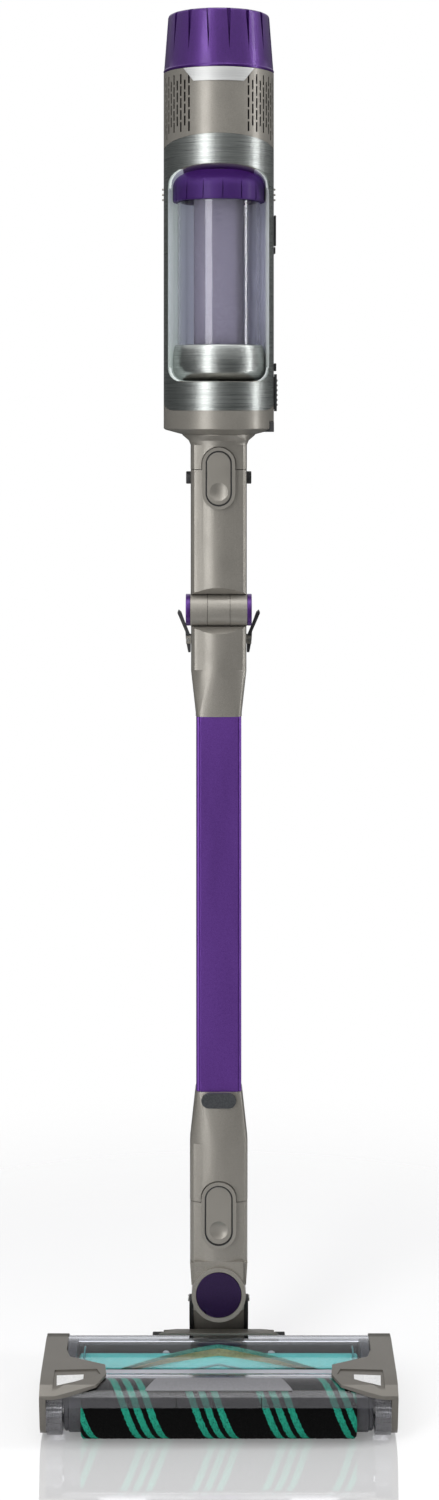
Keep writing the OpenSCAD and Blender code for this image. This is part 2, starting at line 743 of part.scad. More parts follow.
// Screws that hold the arms to the neck
module arm_screws() {
    color([0.2, 0.2, 0.2]) for (s = [-1, 1]) {
        xcyl(1.6, s > 0 ? 16 : -24.4, s > 0 ? 24.4 : -16, 3, 67.5, 24);
        xcyl(2.6, s > 0 ? 24.4 : -25.4, s > 0 ? 25.4 : -24.4, 3, 67.5, 32);
    }
}

// Coloured disc that closes the swivel journal
module swivel_disc() {
    color(purple) ycyl(18.4, -27.2, -25.5, 0, swivel_z);
}

// Steel pin of the pitch joint
module pitch_pin() {
    color(steel) xcyl(trunnion_r, -34, 34, pitch_y, pitch_z, 48);
}

// ---------------------------------------------------------------- floor head

// Main moulding: web between the rollers, rear deck, end walls and the neck's ears
module head_chassis() {
    wall_x = 113.8;
    deck = [[-70, sole_z + 1.2], [16, sole_z + 1.2], [18, 8], [18, 23], [-2, 33.5], [-19, 42], [-21.5, 43.6],
        [-25, 36], [-40, 24], [-60, 30], [-68.8, 40.6], [-76.5, 39.4], [-80, 30]];
    centre = [[-20, sole_z + 1.2], [47, sole_z + 1.2], [51, 7], [51, 13], [47, 17], [40, 24], [pitch_y, 29.4],
        [18, 34], [-1, 43.4], [-17, 47]];
    color(taupe) difference() {
        union() {
            difference() {
                union() {
                    across(deck, -120.6, 120.6);
                    intersection() {
                        across(centre, -54, 54);
                        upward([[-53, -22], [53, -22], [36, -1], [46, 14], [46, 54], [-46, 54], [-46, 14],
                            [-36, -1]], 0, 60);
                    }
                }
                xcyl(fin_r + 1.6, -130, 130, fin_y, fin_z);
            }
            for (side = [-1, 1]) intersection() {
                xcyl(cover_r - 2.3, side > 0 ? wall_x : -120.6, side > 0 ? 120.6 : -wall_x, fin_y, cover_z);
                block([-130, -90, sole_z + 1.2], [130, 0, 60]);
            }
        }
        xcyl(soft_r + 2, -130, 130, soft_y, soft_z);
        block([-25.2, -0.6, 0], [25.2, 60, 60]);
        across([[-18, 47.3], [-26, 60], [-60, 60], [-32, 20], [-19.6, 45]], -wall_x, wall_x);
        xcyl(trunnion_r, -34.3, 34.3, pitch_y, pitch_z, 48);
        xcyl(4, -130, -100, fin_y, fin_z, 48);
        xcyl(7, 100, 130, fin_y, fin_z, 48);
        for (s = [-1, 1])
            xcyl(3, s > 0 ? 40 : -46.5, s > 0 ? 46.5 : -40, wheel_y, wheel_r, 32);
        xcyl(9.5, 51, 111, motor_y, motor_axis_z);
        xcyl(3, 110, 122, motor_y, motor_axis_z, 32);
    }
}

// Flat wear plate under the rear of the head
module sole_plate() {
    color(dark) block([-112, -19, sole_z - 1], [112, 14, sole_z + 1.1]);
}

// Side profile of the end caps
cap_side = concat([[-115.5, 38], [-115, 40.6], [-109, 46.8], [-97, 49.8], [-71, 51.8], [-43, 54], [-30, 52.4],
    [-19, 45], [14, 26], [18, 20], [18, 7], [15, 4]], arc(-94, 20, 16, -90, -160, 5));

// End cap: outer wall, bearing block and the lobe with the headlight
module end_cap(side) {
    lobe = [[122, -58], [118, -71], [89.4, -83], [88, -97], [95, -109], [130, -115.6], [136, -115.6],
        [136, -58]];
    light = [[129, -113], [128.5, -91], [95.5, -89.5], [92.5, -97]];
    color(taupe) mirror([side > 0 ? 0 : 1, 0, 0]) difference() {
        union() {
            across(cap_side, head_w / 2 - 5, head_w / 2);
            intersection() {
                across(cap_side, cover_w + 0.3, head_w / 2 - 4);
                block([100, -68, 0], [140, 30, 60]);
            }
            intersection() {
                upward(lobe, 30, 60);
                across([[-115.5, 37.8], [-115, 40.6], [-109, 46.8], [-97, 49.8], [-71, 51.8], [-58, 52.8],
                    [-58, 50.4], [-71, 49.4], [-97, 47.6], [-109, 44.6], [-113.4, 38.6]], 80, head_w / 2 - 4);
            }
        }
        intersection() {
            upward(light, 30, 60);
            across([[-120, 38], [-109, 45.6], [-97, 48.7], [-71, 50.7], [-71, 60], [-120, 60]], 80, 140);
        }
        xcyl(4, 100, head_w / 2 - 3.5, fin_y, fin_z, 48);
        xcyl(4, 100, head_w / 2 - 2.5, soft_y, soft_z, 48);
        if (side > 0) across(belt_loop(big_pulley_r + 3.5, small_pulley_r + 3.5), 120, 131);
    }
}
module left_cap() {
    end_cap(-1);
}
module right_cap() {
    end_cap(1);
}

// Headlight lenses in the lobes
module headlight_lenses() {
    lens = [[126.5, -98], [125.8, -108.6], [105.5, -102.5], [105.5, -97]];
    color("white") for (side = [-1, 1]) intersection() {
        upward([for (p = lens) [side * p[0], p[1]]], 30, 60);
        across([[-109, 45.65], [-97, 48.75], [-90, 49.3], [-90, 49.9], [-97, 49.4], [-109, 46.3]], -140, 140);
    }
}

// Outline of a belt round the roller's pulley and the motor's pulley, as [y, z] points
function belt_loop(big, small) = let (
    run = [motor_y - fin_y, motor_axis_z - fin_z],
    slope = atan2(run[1], run[0]),
    spread = acos((big - small) / norm(run)))
    concat(arc(fin_y, fin_z, big, slope + spread, slope + 360 - spread, 16),
        arc(motor_y, motor_axis_z, small, slope - spread, slope + spread, 8));

// Motor that drives the rollers
module brush_motor() {
    color([0.6, 0.6, 0.62]) difference() {
        union() {
            xcyl(9.2, 54, 104, motor_y, motor_axis_z);
            xcyl(4, 52, 107, motor_y, motor_axis_z, 48);
        }
        xcyl(1.5 + running_gap, 95, 108, motor_y, motor_axis_z, 32);
    }
}

// Motor shaft with its toothed pulley
module drive_pulley() {
    color(dark) union() {
        xcyl(1.5, 97, 124, motor_y, motor_axis_z, 32);
        xcyl(small_pulley_r, 123.5, 129.5, motor_y, motor_axis_z, 48);
    }
}

// Drive belt in the right end cap
module drive_belt() {
    color([0.05, 0.05, 0.05]) difference() {
        across(belt_loop(big_pulley_r + 1.6, small_pulley_r + 1.6), 124, 129);
        across(belt_loop(big_pulley_r + 0.2, small_pulley_r + 0.2), 123, 130);
    }
}

// Clear cover over the rear roller
module rear_cover() {
    color(clear) intersection() {
        difference() {
            xcyl(cover_r, -cover_w, cover_w, fin_y, cover_z);
            xcyl(cover_r - 2, -cover_w - 1, cover_w + 1, fin_y, cover_z);
        }
        across([[fin_y, cover_z], [-17, 47], [-17, 70], [-90, 70], [-73, 44.6]], -130, 130);
    }
}

// Clear hood over the front roller
module front_hood() {
    color(clear) intersection() {
        difference() {
            xcyl(hood_r, -cover_w, cover_w, soft_y, soft_z);
            xcyl(hood_r - 1.8, -cover_w - 1, cover_w + 1, soft_y, soft_z);
        }
        across([[soft_y, soft_z], [-70, 46.6], [-70, 70], [-150, 70], [-150, 47.7]], -130, 130);
    }
}

// Bare plate on the hood
module label_plate() {
    color([0.55, 0.55, 0.57]) intersection() {
        difference() {
            xcyl(hood_r + 0.9, -60, 60, soft_y, soft_z);
            xcyl(hood_r + 0.02, -61, 61, soft_y, soft_z);
        }
        upward([[-48.5, -98.8], [48.5, -98.8], [57.3, -109.9], [-57.3, -109.9]], 30, 60);
    }
}

// Strips of one half of the rear roller that start above the axis and wind forward towards the end
module strips(start, count, root, tip, thick, length) {
    for (side = [-1, 1], i = [0:count - 1]) translate([0, fin_y, fin_z])
        mirror([side > 0 ? 0 : 1, 0, 0]) rotate([180 + start + 360 * i / count, 0, 0]) rotate([0, 90, 0])
        linear_extrude(length, twist = -0.9 * length, slices = 12)
        polygon([[root, -thick * 0.7], [tip, -thick / 2], [tip, thick / 2], [root, thick * 0.7]]);
}

// Rear roller: core with four bristle strips that meet in chevrons, and a low rib in front of each
module fin_roller() {
    core_r = 16;
    half = fin_l / 2;
    bore = half - 15;
    color(teal) difference() {
        union() {
            xcyl(core_r, -half, half, fin_y, fin_z, 48);
            xcyl(6, half - 1, 130, fin_y, fin_z, 32);
            xcyl(big_pulley_r, 123.5, 129.5, fin_y, fin_z, 64);
            strips(0, fin_count, core_r - 1, fin_r, 2.4, half - 0.5);
            strips(38, fin_count, core_r - 1, core_r + 1.2, 1.2, half - 0.5);
        }
        xcyl(core_r - 5, -bore - 1, bore + 1, fin_y, fin_z, 48);
        for (side = [-1, 1])
            xcyl(4 + running_gap, side > 0 ? bore : -half - 1, side > 0 ? 131 : -bore, fin_y, fin_z, 48);
    }
}

// Soft front roller: pile sleeve on a hollow core with end hubs
module soft_roller() {
    half = soft_l / 2;
    bore = half - 15;
    hub_x = cover_w - 0.5;
    color([0.05, 0.05, 0.05]) difference() {
        union() {
            xcyl(soft_r, -half, half, soft_y, soft_z);
            xcyl(17, -hub_x, hub_x, soft_y, soft_z);
        }
        xcyl(14, -bore - 1, bore + 1, soft_y, soft_z);
        for (side = [-1, 1])
            xcyl(4 + running_gap, side > 0 ? bore : -hub_x - 1, side > 0 ? hub_x + 1 : -bore, soft_y, soft_z,
                48);
    }
}

// Bearing pins of the rollers and axle pins of the wheels, with their heads
module axle_pins() {
    color(steel) for (side = [0, 1]) mirror([side, 0, 0]) {
        xcyl(4, fin_l / 2 - 14, head_w / 2 - 4, fin_y, fin_z, 48);
        xcyl(4, soft_l / 2 - 14, head_w / 2 - 4, soft_y, soft_z, 48);
        xcyl(3, 40.2, 56.4, wheel_y, wheel_r, 32);
        xcyl(4.2, 56.4, 57.2, wheel_y, wheel_r, 32);
    }
}

// Brackets that hold the ends of the front roller
module end_brackets() {
    color([0.7, 0.7, 0.74, 0.6]) for (side = [-1, 1]) mirror([side > 0 ? 0 : 1, 0, 0]) difference() {
        across([[-70, 6], [-70, 30], [-78, 40], [-96, 44], [-108, 39], [-113, 30], [-112, 12], [-105, 6]],
            cover_w + 0.4, head_w / 2 - 5.2);
        xcyl(4, 100, 140, soft_y, soft_z, 48);
    }
}

// Rear wheel with a tyre groove
module wheel(side) {
    color([0.2, 0.2, 0.2]) difference() {
        xcyl(wheel_r, side > 0 ? 47 : -56, side > 0 ? 56 : -47, wheel_y, wheel_r);
        xcyl(3 + running_gap, -60, 60, wheel_y, wheel_r, 32);
        difference() {
            xcyl(8, side > 0 ? 54.5 : -57, side > 0 ? 57 : -54.5, wheel_y, wheel_r, 48);
            xcyl(4.6, -60, 60, wheel_y, wheel_r, 48);
        }
    }
}
module left_wheel() {
    wheel(-1);
}
module right_wheel() {
    wheel(1);
}

filter_cap();
exhaust_filter();
motor_housing();
suction_motor();
motor_fan();
badge_plate();
steel_wrap();
cup_frame();
side_catch();
cup_release();
cup_tube();
cup_collar();
cup_base();
cyclone_core();
cup_screen();
handle();
grip_sleeve();
trigger();
display_panel();
mode_button();
battery();
battery_release();
unit_neck();
upper_wand();
upper_button();
side_pegs();
hinge_collar();
hinge_pin();
hinge_discs();
fold_hose();
left_lever();
right_lever();
lever_pins();
wand_tube();
lower_connector();
indicator_lens();
elbow();
lower_button();
neck_block();
neck_arms();
arm_screws();
swivel_disc();
pitch_pin();
head_chassis();
sole_plate();
left_cap();
right_cap();
headlight_lenses();
rear_cover();
front_hood();
label_plate();
fin_roller();
soft_roller();
axle_pins();
end_brackets();
left_wheel();
right_wheel();
brush_motor();
drive_pulley();
drive_belt();
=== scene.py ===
# %% [markdown]
# # A cordless stick vacuum, dressed for its portrait
# This notebook starts from a finished CAD model and turns it into a picture.
# The CAD model brings every rigid piece at its real size and place, in metres. Here each piece gets its
# finish and small rounded edges. The two rollers, which CAD keeps plain, are modelled again with their
# pile and bristles, and a few small parts are added: a black sleeve and black rings that are painted
# shade, two white dots and collars.

import math

import bmesh
import bpy
from mathutils import Matrix, Vector


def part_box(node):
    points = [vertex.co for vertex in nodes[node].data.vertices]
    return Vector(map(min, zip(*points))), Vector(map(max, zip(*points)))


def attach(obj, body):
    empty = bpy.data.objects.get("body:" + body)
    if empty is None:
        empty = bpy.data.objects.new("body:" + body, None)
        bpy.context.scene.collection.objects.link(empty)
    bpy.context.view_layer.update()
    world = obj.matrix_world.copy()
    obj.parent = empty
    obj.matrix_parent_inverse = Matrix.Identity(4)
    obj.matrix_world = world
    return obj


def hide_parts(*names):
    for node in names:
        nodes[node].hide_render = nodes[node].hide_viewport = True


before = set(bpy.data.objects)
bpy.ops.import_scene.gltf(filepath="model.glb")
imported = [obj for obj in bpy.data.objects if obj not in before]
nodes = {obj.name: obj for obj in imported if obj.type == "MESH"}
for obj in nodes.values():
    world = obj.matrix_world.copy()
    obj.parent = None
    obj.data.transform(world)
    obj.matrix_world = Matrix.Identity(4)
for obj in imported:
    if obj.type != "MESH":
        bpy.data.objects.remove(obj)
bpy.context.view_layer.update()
scene = bpy.context.scene

# %% [markdown]
# ## The camera
# A portrait of something tall is taken with the camera level, so that upright edges stay parallel. A
# level camera at the height of the dust cup would cut off the floor head, so the film is shifted instead
# of tilting the camera: that is what a view camera or a shift lens does. We could also tilt the camera,
# but then the wand would look narrower at the floor.

# %% Camera with a shifted film
camera_data = bpy.data.cameras.new("portrait_camera")
camera_data.lens = 51.6
camera_data.sensor_width = 36
camera_data.shift_x = 0.0005
camera_data.shift_y = -0.2333
camera_data.clip_end = 50
camera = bpy.data.objects.new("portrait_camera", camera_data)
camera.location = (0, -1.777, 0.8107)
camera.rotation_euler = (math.radians(90), 0, 0)
scene.collection.objects.link(camera)
scene.camera = camera
scene.view_settings.view_transform = "Standard"
print("Camera:", round(-camera.location.y, 3), "m in front,", round(camera.location.z, 3), "m up")

# %% [markdown]
# ## The studio
# Cylinders show the lamps as upright streaks, so the lamps of a studio for them are tall and narrow
# softboxes. One stands at the left front and draws the main streak on the left third of every cylinder.
# One at the right is very narrow and stands almost beside the tube, for the thin bright line near the
# right edge. A wide one above gives the floor head its soft top light.


# %% Softboxes
def softbox(name, place, target, width, height, watts):
    """A rectangular lamp that looks at a target."""
    data = bpy.data.lights.new(name, "AREA")
    data.shape = "RECTANGLE"
    data.size = width
    data.size_y = height
    data.energy = watts
    lamp = bpy.data.objects.new(name, data)
    lamp.location = place
    aim = Vector(target) - Vector(place)
    lamp.rotation_euler = aim.to_track_quat("-Z", "Y").to_euler()
    scene.collection.objects.link(lamp)


softbox("left_softbox", (-0.47, -0.89, 0.75), (0, 0, 0.75), width=0.34, height=1.7, watts=8.0)
softbox("right_softbox", (0.99, -0.14, 0.90), (0, 0, 0.90), width=0.10, height=1.8, watts=5.5)
softbox("top_softbox", (0, -0.9, 2.6), (0, -0.05, 0), width=1.6, height=1.2, watts=13)

# %% [markdown]
# ## Nodes in one line
# Worlds and finishes are networks of nodes. Adding a node, setting its numbers and linking its inputs
# takes a line each, so a few helpers do it in one. A value that is an output of another node is linked,
# and any other value is set on the socket itself.


# %% Node helpers
def add_node(tree, kind, *values, **settings):
    """Adds a node with its settings and fills its inputs in their order."""
    node = tree.nodes.new(kind)
    for key, value in settings.items():
        setattr(node, key, value)
    for socket, value in zip(node.inputs, values):
        if isinstance(value, bpy.types.NodeSocket):
            tree.links.new(value, socket)
        else:
            socket.default_value = value
    return node


def count(tree, operation, first, second=0.0, *third):
    """The result of a Math node."""
    return add_node(tree, "ShaderNodeMath", first, second, *third, operation=operation).outputs[0]


def mix_shaders(tree, factor, first, second):
    """The first shader where the factor is 0, and the second where it is 1."""
    return add_node(tree, "ShaderNodeMixShader", factor, first, second).outputs[0]


def ramp(tree, value, start, end, low=(0, 0, 0, 1), high=(1, 1, 1, 1)):
    """A colour that goes from low to high while the value goes from start to end."""
    node = add_node(tree, "ShaderNodeValToRGB", value)
    for stop, position, colour in zip(node.color_ramp.elements, (start, end), (low, high)):
        stop.position = position
        stop.color = colour
    return node.outputs["Color"]


print("Node helpers ready")

# %% [markdown]
# ## The white room
# The background is pure white, but white walls all round would wash out the dark edges of metal and
# gloss: photographers stand black boards left and right of a shiny object for that reason. So the world
# is white where the camera or clear plastic looks. For a reflection it is dark up to a little above eye
# level and white higher up, where the floor's own mirror image looks. Diffuse light sees a dim even grey.

# %% World
BOARDS_TOP, WHITE_ABOVE = 0.20, 0.32
world = bpy.data.worlds.new("white_room")
scene.world = world
world.use_nodes = True
tree = world.node_tree
tree.nodes.clear()
rays = tree.nodes.new("ShaderNodeLightPath").outputs
direction = tree.nodes.new("ShaderNodeTexCoord").outputs["Generated"]
upward = add_node(tree, "ShaderNodeSeparateXYZ", direction).outputs["Z"]
boards = ramp(tree, upward, BOARDS_TOP, WHITE_ABOVE, low=(0.075, 0.08, 0.08, 1))
room_light = add_node(tree, "ShaderNodeBackground", (0.36, 0.36, 0.37, 1)).outputs[0]
room_gloss = add_node(tree, "ShaderNodeBackground", boards).outputs[0]
room_view = add_node(tree, "ShaderNodeBackground", (1, 1, 1, 1)).outputs[0]
see_white = count(tree, "MAXIMUM", rays["Is Camera Ray"], rays["Is Transmission Ray"])
room = mix_shaders(tree, rays["Is Glossy Ray"], room_light, room_gloss)
room = mix_shaders(tree, see_white, room, room_view)
add_node(tree, "ShaderNodeOutputWorld", room)
print("World:", world.name, "with", len(tree.nodes), "nodes")

# %% [markdown]
# ## Finishes
# Colours are written the way a screen shows them, so a helper turns them into the linear values that
# Blender counts with. What is the same all over a surface, such as how metallic it is, goes straight on
# the shader's socket, while noise varies only the colour, the roughness and the fine relief.


# %% Colour helper and a base for every finish
def screen(r, g, b):
    """A colour given as 0 to 255 on screen, in Blender's linear values."""
    def lin(v):
        v = v / 255
        return v / 12.92 if v <= 0.04045 else ((v + 0.055) / 1.055) ** 2.4
    return (lin(r), lin(g), lin(b), 1)


def finish(name, **sockets):
    """A new material with a Principled shader, its sockets set by their names."""
    mat = bpy.data.materials.new(name)
    mat.use_nodes = True
    shader = mat.node_tree.nodes["Principled BSDF"]
    for key, value in sockets.items():
        shader.inputs[key.replace("_", " ")].default_value = value
    return mat, mat.node_tree, shader


def noise(tree, scale, stretch=(1, 1, 1), detail=3.0, rough=0.5):
    """Noise on Object coordinates, stretched along the axes."""
    coord = tree.nodes.new("ShaderNodeTexCoord")
    mapping = add_node(tree, "ShaderNodeMapping", coord.outputs["Object"])
    mapping.inputs["Scale"].default_value = stretch
    texture = add_node(tree, "ShaderNodeTexNoise", mapping.outputs["Vector"])
    texture.inputs["Scale"].default_value = scale
    texture.inputs["Detail"].default_value = detail
    texture.inputs["Roughness"].default_value = rough
    return texture.outputs["Fac"]


def vary(tree, shader, texture, socket, low, high, start=0.35, end=0.65):
    """Lets a texture move a socket between two values or two colours."""
    low, high = (v if isinstance(v, tuple) else (v, v, v, 1) for v in (low, high))
    tree.links.new(ramp(tree, texture, start, end, low, high), shader.inputs[socket])


def relief(tree, shader, texture, strength, distance):
    """Fine bumps from a texture."""
    bump = tree.nodes.new("ShaderNodeBump")
    bump.inputs["Strength"].default_value = strength
    bump.inputs["Distance"].default_value = distance
    tree.links.new(texture, bump.inputs["Height"])
    tree.links.new(bump.outputs["Normal"], shader.inputs["Normal"])


print("Mid grey on screen is", round(screen(128, 128, 128)[0], 3), "in linear light")

# %% [markdown]
# ### Painted plastics
# The main mouldings are a warm grey with metal flakes in the paint, and the accents are a deep purple with
# the same sparkle. Flakes are far smaller than a millimetre, so very fine noise shifts the colour a
# little and gives the surface a grain, and a clear coat lies over it.


# %% Metallic plastics
def flake_paint(name, colour, dark, metallic, rough, coat=0.25):
    """A paint with metal flakes under a clear coat."""
    mat, tree, shader = finish(name, Metallic=metallic, Coat_Weight=coat, Coat_Roughness=0.18)
    flakes = noise(tree, 2600, detail=1.5)
    vary(tree, shader, flakes, "Base Color", dark, colour, start=0.30, end=0.62)
    cloudy = noise(tree, 45, detail=2)
    vary(tree, shader, cloudy, "Roughness", rough - 0.03, rough + 0.04)
    relief(tree, shader, flakes, strength=0.06, distance=0.0001)
    return mat


TAUPE = (screen(152, 148, 140), screen(130, 126, 119), 0.5, 0.40)
taupe = flake_paint("taupe_paint", *TAUPE)
purple = flake_paint("purple_paint", screen(84, 42, 126), screen(58, 27, 90), 0.66, 0.36)
collar_purple = flake_paint("collar_purple", screen(70, 32, 112), screen(52, 24, 86), 0.5, 0.55,
                            coat=0.08)
taupe_dark = flake_paint("taupe_paint_dark", screen(114, 110, 103), screen(97, 94, 88), 0.45, 0.42)
print("Painted plastics:", taupe.name, taupe_dark.name, purple.name, collar_purple.name)

# %% [markdown]
# ### Anodised tube
# The tube is aluminium, blasted fine and anodised purple. The dye sits in the metal's skin, so the colour
# is metallic all through, with a satin highlight that is softer than paint. The disc of the neck's swivel
# is painted in a darker purple.

# %% Anodised purple
tube_purple, tree, shader = finish("anodised_purple", Metallic=0.7)
grain = noise(tree, 3200, detail=1)
vary(tree, shader, grain, "Base Color", screen(92, 53, 134), screen(116, 72, 164), start=0.3)
drift = noise(tree, 30, stretch=(1, 1, 0.2))
vary(tree, shader, drift, "Roughness", 0.34, 0.42)
relief(tree, shader, grain, strength=0.10, distance=0.0001)
disc_purple = flake_paint("disc_purple", screen(50, 28, 76), screen(36, 18, 56), 0.85, 0.30)
print("Tube:", tube_purple.name, "disc:", disc_purple.name)

# %% [markdown]
# ### Brushed steel
# The sleeve is brushed round the unit, so the scratches are long in the sideways directions and very
# short in height. Stretching the noise by a large number in Z and a small one in X and Y gives fine level
# lines that change only slowly along their length. A pin is turned round its own X axis, so its lines are
# short along X.


# %% Brushed steel
def brushed(name, bright, dull, rough, stretch, metallic=1.0):
    """A metal with fine brushing lines, short in the direction of the largest stretch."""
    mat, tree, shader = finish(name, Metallic=metallic, Anisotropic=0.55)
    lines = noise(tree, 60, stretch, detail=5, rough=0.7)
    vary(tree, shader, lines, "Base Color", dull, bright, start=0.36, end=0.62)
    fine = noise(tree, 130, stretch, detail=4, rough=0.65)
    vary(tree, shader, fine, "Roughness", rough - 0.06, rough + 0.08)
    relief(tree, shader, lines, strength=0.22, distance=0.0001)
    return mat


steel = brushed("brushed_steel", screen(186, 189, 187), screen(146, 150, 148), 0.30, (0.25, 0.25, 60))
badge_silver = brushed("badge_silver", screen(214, 215, 214), screen(196, 197, 196), 0.45,
                       (0.25, 0.25, 45), metallic=0.6)
pin_steel = brushed("turned_steel", screen(190, 190, 188), screen(150, 150, 150), 0.28, (45, 1, 1))
print("Steels:", steel.name, badge_silver.name, pin_steel.name)

# %% [markdown]
# ### Dark and light mouldings
# Buttons, levers and arms are moulded in black or dark grey with a spark-eroded grain. The grain is a
# fine noise, shown in the colour and the relief, while a broader one varies the roughness. Rubber has a
# rougher surface and a deeper grain, and a lens is smooth.


# %% Grained mouldings
def moulded(name, colour, dark, rough=0.5, grain_scale=900, strength=0.12, metallic=0.0):
    """A moulding with a fine grain."""
    mat, tree, shader = finish(name, Metallic=metallic)
    grain = noise(tree, grain_scale, detail=2)
    vary(tree, shader, grain, "Base Color", dark, colour)
    vary(tree, shader, noise(tree, 80), "Roughness", rough - 0.05, rough + 0.07)
    relief(tree, shader, grain, strength, distance=0.0002)
    return mat


dark_plastic = moulded("dark_moulding", screen(52, 52, 54), screen(42, 42, 44), 0.46)
black_plastic = moulded("black_moulding", screen(30, 30, 31), screen(22, 22, 23), 0.42)
grip_rubber = moulded("grip_rubber", screen(48, 48, 49), screen(36, 36, 37), 0.72, 1400, 0.3)
tyre_rubber = moulded("tyre_rubber", screen(40, 40, 40), screen(30, 30, 30), 0.8, 700, 0.3)
belt_rubber = moulded("belt_rubber", screen(30, 30, 30), screen(22, 22, 22), 0.7, 700, 0.3)
core_grey = moulded("core_grey", screen(118, 116, 124), screen(108, 106, 113), 0.82)
screen_steel = moulded("screen_steel", screen(124, 123, 128), screen(108, 107, 112), 0.80,
                       metallic=0.15)
plate_grey = moulded("grey_plate", screen(132, 132, 135), screen(122, 122, 125), 0.4)
white_lens = moulded("white_lens", screen(238, 238, 236), screen(228, 228, 227), 0.25)
smoke_lens = moulded("smoke_lens", screen(72, 74, 76), screen(60, 62, 64), 0.18)
panel_black = moulded("panel_gloss", screen(14, 14, 16), screen(10, 10, 11), 0.10, 500, 0.02)
fan_white = moulded("fan_moulding", screen(220, 220, 222), screen(206, 206, 208), 0.45)
motor_metal = moulded("motor_can", screen(120, 120, 124), screen(104, 104, 108), 0.35, metallic=0.8)
filter_media = moulded("filter_paper", screen(224, 220, 210), screen(206, 202, 190), 0.9, 300, 0.5)
print("Finishes so far:", len(bpy.data.materials))

# %% [markdown]
# ### Clear plastics
# The cup and the covers are polycarbonate. Light passes straight through a wall of 2 mm, so the shader
# transmits nearly all of it. A renderer treats bent light from a lamp as a caustic and would leave the
# inside of the cup dark, so a shadow ray passes a clear wall as if it were only tinted air.


# %% Clear plastics
def clear_plastic(name, tint, rough, clear=1.0):
    """A clear moulding that lets the light of the lamps through."""
    mat, tree, shader = finish(name, Transmission_Weight=clear, IOR=1.45, Roughness=rough)
    faint = noise(tree, 12, stretch=(1, 1, 0.4), detail=2)
    lighter = tuple(min(1, c * 1.03) for c in tint[:3]) + (1,)
    vary(tree, shader, faint, "Base Color", tint, lighter, start=0.3, end=0.7)
    rays = tree.nodes.new("ShaderNodeLightPath").outputs
    through = add_node(tree, "ShaderNodeBsdfTransparent", tint).outputs[0]
    surface = mix_shaders(tree, rays["Is Shadow Ray"], shader.outputs[0], through)
    tree.links.new(surface, tree.nodes["Material Output"].inputs["Surface"])
    return mat


cup_clear = clear_plastic("cup_clear", screen(232, 230, 241), 0.07)
cover_clear = clear_plastic("cover_clear", screen(214, 216, 222), 0.03)
bracket_clear = clear_plastic("bracket_clear", screen(226, 226, 232), 0.03, clear=0.91)
print("Clear plastics:", cup_clear.name, cover_clear.name, bracket_clear.name)

# %% [markdown]
# ### Finishes that change with the place
# Some mouldings show two finishes though they are one piece, and some get painted shade or a glow in one
# place. We could cut such a piece in two, but then a seam would show. Instead the shader asks the Object
# coordinates where it is: Math nodes turn a radius or a height into a mask, which is 1 where the second
# finish lies, and a Mix node lays that colour over what already feeds the base colour.


# %% Mask helpers
def reopen(mat):
    """The tree and the shader of a finish, and the Object coordinates X, Y and Z."""
    tree = mat.node_tree
    coord = tree.nodes.new("ShaderNodeTexCoord")
    place = add_node(tree, "ShaderNodeSeparateXYZ", coord.outputs["Object"]).outputs
    return tree, tree.nodes["Principled BSDF"], place["X"], place["Y"], place["Z"]


def radius_of(tree, across, up):
    """How far a place is from an axis, from its distances across and up."""
    squares = [count(tree, "MULTIPLY", side, side) for side in (across, up)]
    return count(tree, "SQRT", count(tree, "ADD", *squares))


def both(tree, first, *others):
    """A mask that is 1 where all the masks are 1."""
    for other in others:
        first = count(tree, "MULTIPLY", first, other)
    return first


def paint_over(tree, shader, mask, colour):
    """Lays a colour over the base colour where the mask is 1."""
    socket = shader.inputs["Base Color"]
    mix = add_node(tree, "ShaderNodeMix", data_type="RGBA")
    tree.links.new(mask, mix.inputs["Factor"])
    tree.links.new(socket.links[0].from_socket, mix.inputs["A"])
    mix.inputs["B"].default_value = colour
    tree.links.new(mix.outputs["Result"], socket)


print("Mask helpers ready")

# %% [markdown]
# The frame round the cup's bay is taupe outside, and the walls inside the bay are painted silver. The bay
# is round the upright axis, so its walls are where the radius is small, between its floor and its ceiling.
# The lamps hardly reach them behind the cup, so the silver has a little light of its own, and more of it
# on the left, where the main lamp stands.

# %% Frame of the cup bay
BAY_R, BAY_FLOOR, BAY_CEILING = 0.0447, 0.8262, 0.9980
frame_paint = flake_paint("frame_paint", *TAUPE)
tree, shader, x, y, z = reopen(frame_paint)
bay = both(tree, count(tree, "LESS_THAN", radius_of(tree, x, y), BAY_R),
           count(tree, "GREATER_THAN", z, BAY_FLOOR), count(tree, "LESS_THAN", z, BAY_CEILING))
paint_over(tree, shader, bay, screen(226, 232, 230))
less_metal = count(tree, "MULTIPLY", bay, 0.35)
tree.links.new(count(tree, "SUBTRACT", 0.5, less_metal), shader.inputs["Metallic"])
shader.inputs["Emission Color"].default_value = screen(214, 226, 222)
more_at_left = count(tree, "MULTIPLY", count(tree, "LESS_THAN", x, 0.0), 0.26)
bay_glow = both(tree, bay, count(tree, "ADD", more_at_left, 0.02))
tree.links.new(bay_glow, shader.inputs["Emission Strength"])
print("Bay walls painted silver:", round((BAY_CEILING - BAY_FLOOR) * 1000, 1), "mm high")

# %% [markdown]
# The collar of the cup is a purple ring that closes over the cup as a low dome. The dome lies in the deep
# shadow of the housing above, where real light would still bounce about, so it gets a faint glow that
# grows with the height above the collar's shoulder.

# %% Crown of the collar
SHOULDER_Z, GLOW_PER_METRE, MOST_GLOW = 0.984, 20, 0.3
tree, shader, x, y, z = reopen(collar_purple)
shader.inputs["Emission Color"].default_value = screen(96, 48, 150)
crown = count(tree, "MULTIPLY", count(tree, "SUBTRACT", z, SHOULDER_Z), GLOW_PER_METRE)
crown = count(tree, "MINIMUM", count(tree, "MAXIMUM", crown, 0), MOST_GLOW)
tree.links.new(crown, shader.inputs["Emission Strength"])
print("Crown glows above", SHOULDER_Z, "m, at most", MOST_GLOW)
